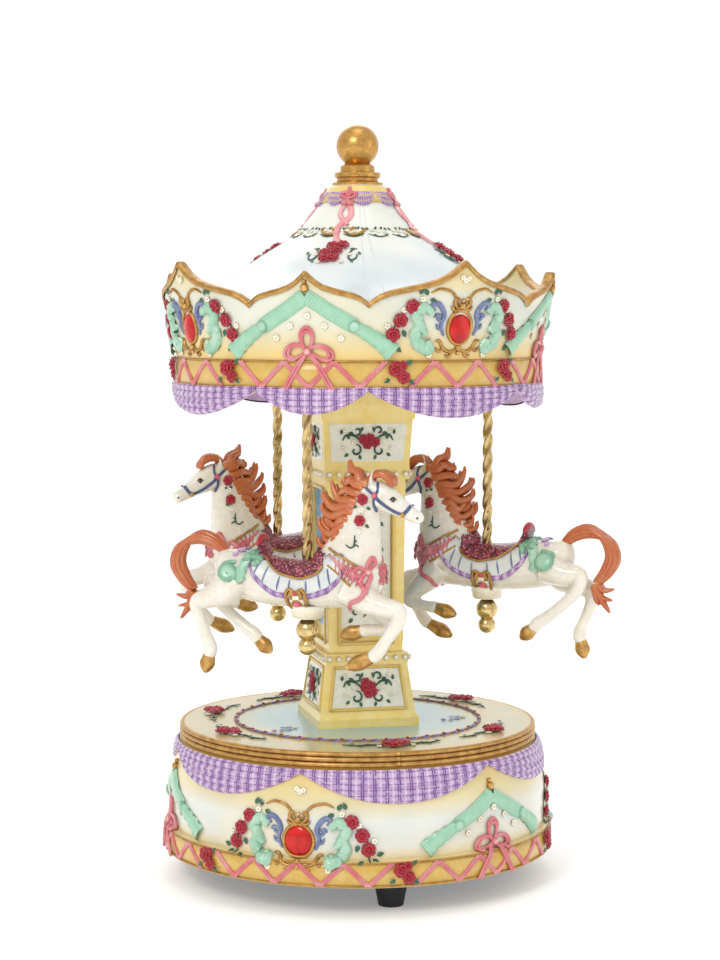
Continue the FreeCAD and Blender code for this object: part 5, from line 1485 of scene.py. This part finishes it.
def build_hair(trim):
    for index, (root, middle, tip) in enumerate(LOCKS):
        for side in (-1.3, 0.0, 1.3):
            sway = random.uniform(-0.5, 0.5)
            knots = [Vector((root[0] + 0.6, side * 1.5, root[1] - 0.4)),
                     Vector((root[0] - 1.8, side * 1.5, root[1] + 0.2)),
                     Vector((middle[0] + sway, side * 0.95, middle[1] - 0.6)),
                     Vector((tip[0] + 1.2 + sway, side * 0.5, tip[1] - 0.3 + random.uniform(-0.6, 0.6))),
                     Vector((tip[0] + 0.8 + sway, side * 0.3, tip[1] + 1.6 + random.uniform(-0.5, 0.7)))]
            tube(trim["orange"], smooth_path(knots, 5), 1.65, 9,
                 taper=lambda t: (1.0 - 0.86 * t ** 1.7) * (0.8 + 0.2 * t))
    for side in (-1.2, -0.3, 0.5, 1.3):
        knots = [Vector((17.6, side, 19.4)), Vector((19.6, side * 0.9, 21.0)),
                 Vector((22.0, side * 0.8, 21.2)),
                 Vector((24.2, side * 0.9, 19.6 + 0.3 * side)), Vector((24.6, side * 0.9, 18.0))]
        tube(trim["orange"], smooth_path(knots, 5), 1.2, 7, taper=lambda t: pointed(t, 0.35))
    for strand in range(9):
        turn = 2 * math.pi * strand / 9
        across, rise = 1.35 * math.cos(turn), 1.2 * math.sin(turn)
        knots = []
        for index, (forward, up) in enumerate(TAIL):
            swell = (0.55, 0.95, 1.1, 1.25, 1.25, 1.05, 0.7)[index]
            knots.append(Vector((forward + rise * swell * (0.4 if index < 3 else 1.0), across * swell,
                                 up + rise * swell * (1.0 if index < 3 else 0.4))))
        tube(trim["orange"], smooth_path(knots, 6), 0.85, 7, taper=lambda t: pointed(t, 0.55))
    for tips in TAIL_TIPS:
        for side in (-0.8, 0.0, 0.8):
            knots = [Vector((forward, side * (1.0 - 0.3 * index), up)) for index,
                     (forward, up) in enumerate(tips)]
            tube(trim["orange"], smooth_path(knots, 6), 1.05, 7, taper=lambda t: 1.0 - 0.75 * t ** 2)


def build_hooves(trim):
    for root_f, root_u, tip_f, tip_u, side in HOOVES:
        root = Vector((root_f, side, root_u))
        tip = Vector((tip_f, side, tip_u))
        path = [root.lerp(tip, share / 8) for share in range(9)]
        tube(trim["gold"], path, 2.1, 14, 0.85, Vector((0, 1, 0)),
             taper=lambda t: (0.74 + 0.36 * t * 1.6) if t < 0.45 else 1.05 * (1 - ((t - 0.45) / 0.62) ** 2.2))


def build_saddle(trim):
    cloth(trim["blanket"], blanket_outline(), 0.35)
    cloth(trim["saddle"], saddle_outline(), 1.0)
    for side in (-1, 1):
        cloth_border(trim["purple"], blanket_outline(), 2.1, 0.4, side)
        rim = [girth(forward, side * reach, 0.95)[0] for forward, reach in blend_rows(saddle_outline(), 5)]
        tube(trim["gold"], rim, 0.34, 6)
        for forward, lean in ((-11.6, -1.6), (-9.4, -1.2), (-5.6, -0.8), (-2.6, -0.4), (2.0, 0.2),
                              (5.4, 0.8), (7.8, 1.2)):
            reach = float(np.interp(forward, [p for p, _ in blanket_outline()],
                                    [r for _, r in blanket_outline()]))
            top = float(np.interp(forward, [p for p, _ in saddle_outline()],
                                  [r for _, r in saddle_outline()]))
            line = [girth(forward + lean * share, side * (top + 0.12 + (reach - top - 0.46) * share), 0.42)[0]
                    for share in (0, 0.33, 0.66, 1.0)]
            tube(trim["blue"], smooth_path(line, 3), 0.26, 6, taper=pointed)
        build_shield(trim, side)
    for rise in range(5):
        centre = Vector((-11.4 - 0.42 * rise, 0, -1.2 + 0.95 * rise))
        row = [centre + Vector((0, across, -0.12 * across * across)) for across in (-3.4, -2.2, 0, 2.2, 3.4)]
        tube(trim["saddle"], smooth_path(row, 5), 1.25 - 0.1 * rise, 8, taper=lambda t: pointed(t, 0.3))
    edge = [Vector((-12.9, across, 3.4 - 0.16 * across * across)) for across in (-3.6, -2.4, 0, 2.4, 3.6)]
    tube(trim["crimson"], smooth_path(edge, 5), 1.0, 8, taper=lambda t: pointed(t, 0.35))
    front = [Vector((6.0, across, 0.0 - 0.12 * across * across)) for across in (-3.2, -1.6, 0, 1.6, 3.2)]
    tube(trim["saddle"], smooth_path(front, 5), 1.1, 8, taper=lambda t: pointed(t, 0.4))


def build_shield(trim, side):
    """Gold scrolls round a pink stone, low on the flank under the pole."""
    for mirror in (-1, 1):
        for pairs in ([(0, -10.6), (1.8, -9.6), (2.8, -11.2), (2.5, -13.6), (1.5, -14.8)],
                      [(0.2, -11.0), (1.2, -10.2), (1.7, -11.4), (0.9, -12.0)],
                      [(1.0, -15.0), (0.0, -14.6), (-0.6, -14.8)]):
            path, normals = flank_path([(mirror * a - 0.9, b) for a, b in pairs], side, 0.75, 4)
            tube(trim["gold"], path, 0.5, 6, normals=normals, taper=lambda t: pointed(t, 0.6))
    plate, out = flank(-0.9, -12.8, side, 0.35)
    ball(trim["pearl"], plate, 2.4, 0.25, out, 6, 16)
    gem, out = flank(-0.9, -13.2, side, 0.8)
    ball(trim["rose_pink"], gem, 1.15, 0.6, out, 8, 14)
    ring = []
    place = facing(gem, out)
    for step in range(17):
        angle = 2 * math.pi * step / 16
        ring.append(place @ Vector((1.3 * math.cos(angle), 1.3 * math.sin(angle), 0)))
    tube(trim["gold"], ring, 0.3, 6)
    top, out = flank(-0.9, -10.6, side, 0.8)
    ball(trim["crimson"], top, 0.7, 0.8, out)
    for mirror in (-1, 1):
        dot, out = flank(-0.9 + mirror * 1.0, -10.9, side, 0.7)
        ball(trim["gold"], dot, 0.5, 0.8, out)


def build_bridle(trim, side):
    def strap(pairs, radius=0.42, colour="bridle", lift=0.12):
        path, normals = flank_path(pairs, side, lift, 5)
        tube(trim[colour], path, radius, 6, 0.8, normals)

    strap([(16.4, 19.4), (18.0, 17.4), (20.4, 15.6)])
    strap([(20.4, 15.6), (21.0, 17.2), (20.6, 19.0)], 0.36)
    strap([(20.4, 15.6), (22.6, 13.4), (25.4, 11.6), (27.8, 10.8)], 0.48)
    strap([(27.8, 10.8), (28.9, 11.8), (29.6, 13.0)], 0.5)
    strap([(20.4, 15.6), (20.0, 13.0), (20.3, 11.4)], 0.42)
    knot, out = flank(20.4, 15.6, side, 0.4)
    ball(trim["rose_pink"], knot, 0.85, 0.7, out)
    ring, out = flank(27.8, 10.8, side, 0.3)
    ball(trim["gold"], ring, 0.75, 0.7, out)
    eye, out = flank(25.2, 14.6, side, 0.02)
    ball(trim["eye"], eye, 0.62, 0.6, out, 6, 12)
    path, normals = flank_path([(24.2, 14.6), (25.2, 15.3), (26.2, 14.5)], side, 0.12, 4)
    tube(trim["brown"], path, 0.17, 5, normals=normals, taper=pointed)
    nose, out = flank(31.8, 10.0, side, 0.0)
    ball(trim["brown"], nose, 0.34, 0.4, out)


def build_breast(trim, side):
    """Two gold straps, the pink netting between them, and the bow with hanging tails."""
    for pairs in ([(7.6, 1.4), (12.0, -0.8), (16.4, -3.2), (19.4, -5.0)],
                  [(7.8, -3.0), (11.0, -5.2), (15.0, -8.0)]):
        path, normals = flank_path(pairs, side, 0.25, 6)
        tube(trim["gold"], path, 0.36, 6, 0.8, normals)
    for index in range(7):
        share = index / 6
        start = (9.0 + 7.6 * share, -0.4 - 3.6 * share)
        end = (11.2 + 6.0 * share, -4.6 - 3.4 * share)
        for lean in (-0.9, 0.9):
            path, normals = flank_path([(start[0] + lean, start[1]), (end[0] - lean, end[1])], side, 0.22, 4)
            tube(trim["pink"], path, 0.27, 5, normals=normals)
    for pairs, radius in (([(18.2, -3.6), (19.6, -5.6), (18.8, -8.2), (19.2, -10.2)], 0.75),
                          ([(18.0, -5.0), (17.2, -7.4), (18.6, -9.4), (17.6, -11.4), (15.0, -12.6),
                            (13.8, -14.8)], 0.7),
                          ([(18.6, -4.4), (16.6, -3.4), (15.2, -5.0), (17.6, -5.6), (18.6, -4.4)], 0.65),
                          ([(18.8, -4.4), (20.2, -2.4), (19.6, -0.8), (18.6, -2.8), (18.8, -4.4)], 0.65)):
        path, normals = flank_path(pairs, side, 0.3, 5)
        tube(trim["pink"], path, radius, 7, 0.7, normals, taper=lambda t: pointed(t, 0.55))
    front, out = flank(19.0, -4.6, side, 0.5)
    ball(trim["pink"], front, 0.95, 0.8, out)
    for rise in (-7.0, -5.0, -3.0):
        point, _, _, _ = HORSE_SKIN.find_nearest(Vector((23.0, side * 1.4, rise)))
        trim.rose(point + Vector((0.2, 0, 0)), Vector((1, side * 0.6, 0.1)), 1.05, "pink")


def build_haunch(trim, side):
    frilled_curl(trim["mint_smooth"], (-13.8, -2.6), side, 2.0, 200, -300, 1.6, 0.5)
    path, normals = flank_path([(-15.6, -2.6), (-16.6, -4.6), (-17.0, -7.0), (-16.8, -8.6)], side, 0.3, 5)
    ribbon(trim["mint_smooth"], path, normals, 3.0, lift=0.8, frill=0.3)
    point, out = flank(-20.2, -5.8, side, -0.1)
    ball(trim["mint_smooth"], point, 3.0, 0.34, out, 8, 20)
    frilled_curl(trim["mint_smooth"], (-20.2, -5.8), side, 2.9, 60, 640, 0.62, 0.08)
    point, out = flank(-18.4, -0.6, side, 0.2)
    trim.blossom(point, out, 1.35, "lilac")
    point, out = flank(-19.6, -1.4, side, 0.1)
    trim.blossom(point, out, 0.9, "lilac")


def build_neck_flowers(trim, side):
    for forward, up, radius in ((17.0, 14.6, 1.35), (16.4, 9.0, 1.35)):
        point, out = flank(forward, up, side, 0.1)
        trim.rose(point, out, radius)
    for forward, up, radius in ((16.8, 11.8, 0.95), (16.2, 6.2, 0.8)):
        point, out = flank(forward, up, side, 0.05)
        trim.blossom(point, out, radius)
    for pairs in ([(15.2, 5.2), (15.2, 3.4), (15.0, 2.2)],
                  [(12.8, 2.6), (14.2, 1.8), (15.6, 2.6), (16.4, 2.0)],
                  [(15.0, 3.0), (15.8, 3.8)]):
        path, normals = flank_path(pairs, side, 0.12, 4)
        tube(trim["leaf_green"], path, 0.24, 5, normals=normals, taper=lambda t: pointed(t, 0.5))
    for forward, up, spin in ((15.6, 12.8, 200), (18.0, 12.6, -30), (17.8, 8.0, -40)):
        point, out = flank(forward, up, side, 0.05)
        trim.leaf(point, out, 1.4, math.radians(spin))


def build_horses():
    trim = horse_trim()
    body_shell = Shell()
    body_shell.add(HORSE_POINTS, HORSE_FACES)
    skin_material, _ = HORSE_FINISH["skin"]
    for number in (1, 2, 3):
        low, high = box_mm(f"pole_{number}")
        centre = (low + high) / 2
        turn = math.atan2(centre.x, -centre.y) + math.radians(SWIVELS[number])
        place = Matrix.Translation(Vector((centre.x, centre.y, SADDLE_UP))) @ Matrix.Rotation(turn, 4, "Z")
        body = f"horse_body_{number}"
        shell = Shell()
        shell.merge(body_shell, place)
        horse = shell.make(f"horse_{number}_skin", skin_material, body, "horse_resin")
        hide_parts(f"horse_{number}")
        for colour, ornament in sorted(trim.shells.items()):
            if ornament.points:
                material, slot = HORSE_FINISH.get(colour) or FINISH[colour]
                shell = Shell()
                shell.merge(ornament, place)
                shell.make(f"horse_{number}_{colour}", material, body, slot)
        pad = Shell()
        tube(pad, [Vector((0, 0, height)) for height in (-18.1, -17.8, -16.4, -15.4, -14.4)], 4.9, 28,
             taper=lambda t: 0.74 + 0.26 * t ** 0.6)
        placed = Shell()
        placed.merge(pad, place)
        placed.make(f"horse_{number}_pad", FINISH["pearl"][0], body, "horse_resin")


# ---------------------------------------------------------------- materials of the rest

def roof_material():
    """White tent with faint blue clouds and a bluer rim that are painted shade and reflected blue light, and
    creamier at the top.
    """
    material, shader = new_material("roof_paint", (0.88, 0.89, 0.86), 0.28, coat=0.5, sss=0.08)
    # Bluer towards the rim: painted shade and reflected blue light.
    tint = height_tint(material, ROOF_EDGE * MM, ROOF_TOP * MM, [
        (0.0, (0.74, 0.80, 0.84)), (0.22, (0.80, 0.83, 0.82)), (0.55, (0.82, 0.83, 0.77)),
        (1.0, (0.78, 0.78, 0.68))])
    # Painted shade and reflected blue light: blue clouds multiplied over the tent.
    shade = ramp(material, noise(material, 26.0, 2.0), [(0.38, (0.62, 0.74, 0.84)), (0.60, (1.0, 1.0, 0.98))])
    link(material, mix(material, tint, shade, 0.8, "MULTIPLY"), shader.inputs["Base Color"])
    bump(material, shader, noise(material, 480.0, 3.0), 0.15, 0.0002)
    return material


def base_wall_material():
    """Pearl wall with amber airbrushing under the swags and above the band."""
    return tinted_wall("base_ivory", BASE_FOOT * MM, BASE_TOP * MM, [
        (0.0, (0.78, 0.55, 0.18)), (0.22, (0.78, 0.60, 0.26)), (0.34, (0.75, 0.73, 0.62)),
        (0.56, (0.73, 0.75, 0.70)),
        (0.72, (0.76, 0.66, 0.38)), (1.0, (0.78, 0.54, 0.15))])


BRASS = metal("brass_rod", (0.70, 0.52, 0.24), (0.30, 0.20, 0.075), 0.2, wear=260.0)
BRASS_BALLS = metal("brass_balls", (0.80, 0.62, 0.30), (0.52, 0.37, 0.14), 0.16, wear=900.0)
FINIAL_GOLD = metal("finial_gold", (0.66, 0.38, 0.11), (0.46, 0.24, 0.06), 0.27, 0.9, wear=1200.0)
JEWEL = jewel_material()
RUBBER = rubber_material("black_rubber", (0.012, 0.013, 0.014))
ABS_BLACK = rubber_material("black_moulding", (0.02, 0.02, 0.022))
STEEL = metal("bright_steel", (0.46, 0.46, 0.48), (0.24, 0.24, 0.25), 0.28, wear=900.0)
ZINC = metal("cast_zinc", (0.40, 0.40, 0.42), (0.22, 0.22, 0.23), 0.42, wear=600.0)
CREAM = painted("cream_panel", (0.80, 0.80, 0.64), (0.46, 0.44, 0.28), 0.3, 0.5, hollow_shade_share=0.4, sss=0.08,
                light=(0.88, 0.86, 0.72))
SKY = painted("sky_panel", (0.06, 0.26, 0.50), (0.02, 0.12, 0.28), 0.32, 0.4, hollow_shade_share=0.4,
              light=(0.16, 0.42, 0.66))
BUTTER = FINISH["butter"][0]
# The roof seams' bluish shade colour is painted shade along the seams.
FINISH["roof_seam"] = (painted("roof_seam", (0.80, 0.82, 0.78), (0.68, 0.73, 0.74), 0.34, 0.3), "roof_resin")
FINISH["cream"] = (CREAM, "ivory_resin")
FINISH["sky"] = (SKY, "blue_resin")

# Here too the shade colours are painted shade laid in the hollows.
HORSE_FINISH = {
    "skin": (painted("horse_white", (0.82, 0.77, 0.65), (0.44, 0.33, 0.17), 0.24, 0.7, 0.06, 0.7, 700.0, 0.15,
                     light=(0.86, 0.84, 0.76)), "horse_resin"),
    "orange": (painted("orange_hair", (0.80, 0.24, 0.05), (0.40, 0.06, 0.01), 0.26, 0.5, hollow_shade_share=0.75,
                       light=(0.92, 0.46, 0.17)), "crimson_resin"),
    "saddle": (beaded("beaded_saddle", (0.36, 0.012, 0.05), (0.09, 0.0, 0.02), (0.66, 0.34, 0.40)),
               "crimson_resin"),
    "blanket": (painted("blanket_cream", (0.76, 0.79, 0.76), (0.40, 0.42, 0.44), 0.36, 0.4,
                        light=(0.86, 0.87, 0.80)), "ivory_resin"),
    "bridle": (painted("bridle_blue", (0.075, 0.12, 0.28), (0.02, 0.03, 0.10), 0.32, 0.5), "blue_resin"),
    "eye": (painted("dark_eye", (0.015, 0.015, 0.015), (0.004, 0.004, 0.004), 0.1, 1.0, mottle=0.04),
            "black_plastic"),
    "brown": (painted("brown_line", (0.10, 0.05, 0.025), (0.03, 0.015, 0.01), 0.3, 0.5), "black_plastic"),
}

NODE_MATERIALS = {
    "base_shell": base_wall_material(), "bottom_plate": ABS_BLACK, "deck_plate": deck_material(),
    "feet": RUBBER, "base_jewels": JEWEL, "canopy_jewels": JEWEL, "finial": FINIAL_GOLD,
    "column_pedestal": BUTTER, "column_shaft": BUTTER, "column_capital": BUTTER,
    "canopy_ceiling": CREAM, "canopy_hub": CREAM, "canopy_roof": roof_material(), "governor_vane": ABS_BLACK,
}
BRASS_NODES = ("spring_barrel", "crown_gear_lid", "drum_pinion", "music_drum", "drum_wheel", "worm_wheel",
               "lower_spindle_bush", "upper_spindle_bush", "pole_sockets")
ZINC_NODES = ("movement_bedplate", "drum_bearing_post", "train_plate", "train_outer_post", "governor_frame",
              "comb_block")


def paint_nodes():
    """Every CAD node gets a finish, hidden ones too."""
    for name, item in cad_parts.items():
        if name in NODE_MATERIALS:
            material = NODE_MATERIALS[name]
        elif name.startswith(("pole_balls", "pole_collar")):
            material = BRASS_BALLS
        elif name in BRASS_NODES or name.startswith("pole"):
            material = BRASS
        elif name in ZINC_NODES:
            material = ZINC
        elif name.startswith("horse"):
            material = HORSE_FINISH["skin"][0]
        elif name in ("canopy_rim", "canopy_valance"):
            material = CREAM
        else:
            material = STEEL
        item.data.materials.clear()
        item.data.materials.append(material)


def build_roof():
    """The tent as one smooth skin, over the stepped CAD cone."""
    steps = 96
    rows = 40
    columns = []
    for step in range(steps):
        turn = 360 * step / steps
        column = []
        for row in range(rows + 1):
            share = (row / rows) ** 1.3
            height = ROOF_EDGE - 0.6 + (ROOF_TOP - ROOF_EDGE + 0.6) * share
            column.append(round_point(roof_skin(max(height, ROOF_EDGE)), turn, height))
        columns.append(column)
    shell = Shell()
    shell.add([point for column in columns for point in column],
              grid_faces(steps, rows + 1, closed_rows=True))
    roof = shell.make("roof_skin", NODE_MATERIALS["canopy_roof"], "carousel", "roof_resin")
    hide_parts("canopy_roof")
    cap = Shell()
    low = ROOF_EDGE + 0.8 * (ROOF_TOP - ROOF_EDGE) + 1.6
    columns = []
    for step in range(steps):
        turn = 360 * step / steps
        columns.append([round_point(radius, turn, height) for radius, height in
                        ((roof_skin(low) - 0.2, low), (roof_skin(low) + 0.5, low + 0.3),
                         (9.2, ROOF_TOP - 2.2),
                         (8.2, ROOF_TOP - 0.5), (7.4, ROOF_TOP - 0.1), (6.0, ROOF_TOP))])
    cap.add([point for column in columns for point in column], grid_faces(steps, 6, closed_rows=True))
    cap.make("roof_cap", FINISH["butter"][0], "carousel", "yellow_resin")


def roof_skin(height):
    """Radius of the tent, smoothed between the CAD outline's corners."""
    return sum(roof_radius_at(height + offset) for offset in (-1.2, -0.6, 0.0, 0.6, 1.2)) / 5


# ---------------------------------------------------------------- floor, light and camera

CAMERA_TURN = math.radians(-13.0)
CAMERA_DISTANCE = 0.6476
CAMERA_HEIGHT = 0.1632
CAMERA_TILT = 4.56
CAMERA_LENS = 86.25
CAMERA_SHIFT = 0.0026
WORLD_LIGHT = 0.80
FLOOR_GLOW = 0.22
STUDIO_LIGHTS = [("key", (-0.60, -0.75, 0.75), 0.34, 3.6, (1.0, 0.985, 0.96)),
                 ("fill", (0.85, -0.55, 0.40), 0.6, 0.7, (0.97, 0.985, 1.0)),
                 ("back", (0.1, 0.9, 0.7), 0.6, 1.2, (1.0, 1.0, 1.0)),
                 ("top", (0.0, -0.1, 0.95), 0.4, 0.8, (1.0, 1.0, 1.0))]


def build_studio():
    """A pale sheet that is floor in front and curves up into a wall behind, lit softly from all round."""
    half_width, front, back, bend, top = 6.0, -4.0, 2.2, 1.6, 5.0
    profile = [(front, 0.0), (back, 0.0)]
    profile += [(back + bend * math.sin(angle), bend * (1 - math.cos(angle)))
                for angle in [math.pi / 2 * step / 24 for step in range(1, 25)]]
    profile.append((back + bend, top))
    points = [(side * half_width, y, z) for y, z in profile for side in (-1, 1)]
    sheet = bpy.data.meshes.new("floor")
    sheet.from_pydata(points, [], [(2 * row, 2 * row + 1, 2 * row + 3,
                                    2 * row + 2) for row in range(len(profile) - 1)])
    sheet.shade_smooth()
    floor = bpy.data.objects.new("floor", sheet)
    floor.rotation_euler = (0, 0, CAMERA_TURN)
    bpy.context.scene.collection.objects.link(floor)
    material, shader = new_material("floor_white", (0.95, 0.95, 0.95), 0.8, specular=0.1)
    shader.inputs["Emission Color"].default_value = (1, 1, 1, 1)
    shader.inputs["Emission Strength"].default_value = FLOOR_GLOW
    sheet.materials.append(material)
    for name, place, width, power, color in STUDIO_LIGHTS:
        data = bpy.data.lights.new(name, "AREA")
        data.size = width
        data.energy = power
        data.color = color
        light = bpy.data.objects.new(name, data)
        light.location = place
        light.rotation_euler = (Vector((0, 0, 0.1)) - Vector(place)).to_track_quat("-Z", "Y").to_euler()
        bpy.context.scene.collection.objects.link(light)
    world = bpy.data.worlds.new("studio")
    world.use_nodes = True
    world.node_tree.nodes["Background"].inputs["Color"].default_value = (1, 1, 1, 1)
    world.node_tree.nodes["Background"].inputs["Strength"].default_value = WORLD_LIGHT
    bpy.context.scene.world = world
    bpy.context.scene.view_settings.view_transform = "Standard"


def build_camera():
    """The photograph's point of view."""
    data = bpy.data.cameras.new("camera")
    data.sensor_width = 36.0
    data.lens = CAMERA_LENS
    data.shift_x = CAMERA_SHIFT
    camera = bpy.data.objects.new("camera", data)
    camera.location = (math.sin(CAMERA_TURN) * CAMERA_DISTANCE, -math.cos(CAMERA_TURN) * CAMERA_DISTANCE,
                       CAMERA_HEIGHT)
    camera.rotation_euler = (math.radians(90 - CAMERA_TILT), 0.0, CAMERA_TURN)
    bpy.context.scene.collection.objects.link(camera)
    bpy.context.scene.camera = camera


paint_nodes()
build_rim()
build_valance_back()
build_canopy_trim()
build_roof()
build_roof_trim()
build_base_trim()
build_deck_edge()
build_deck_trim()
build_column()
build_poles()
build_horses()
build_studio()
build_camera()
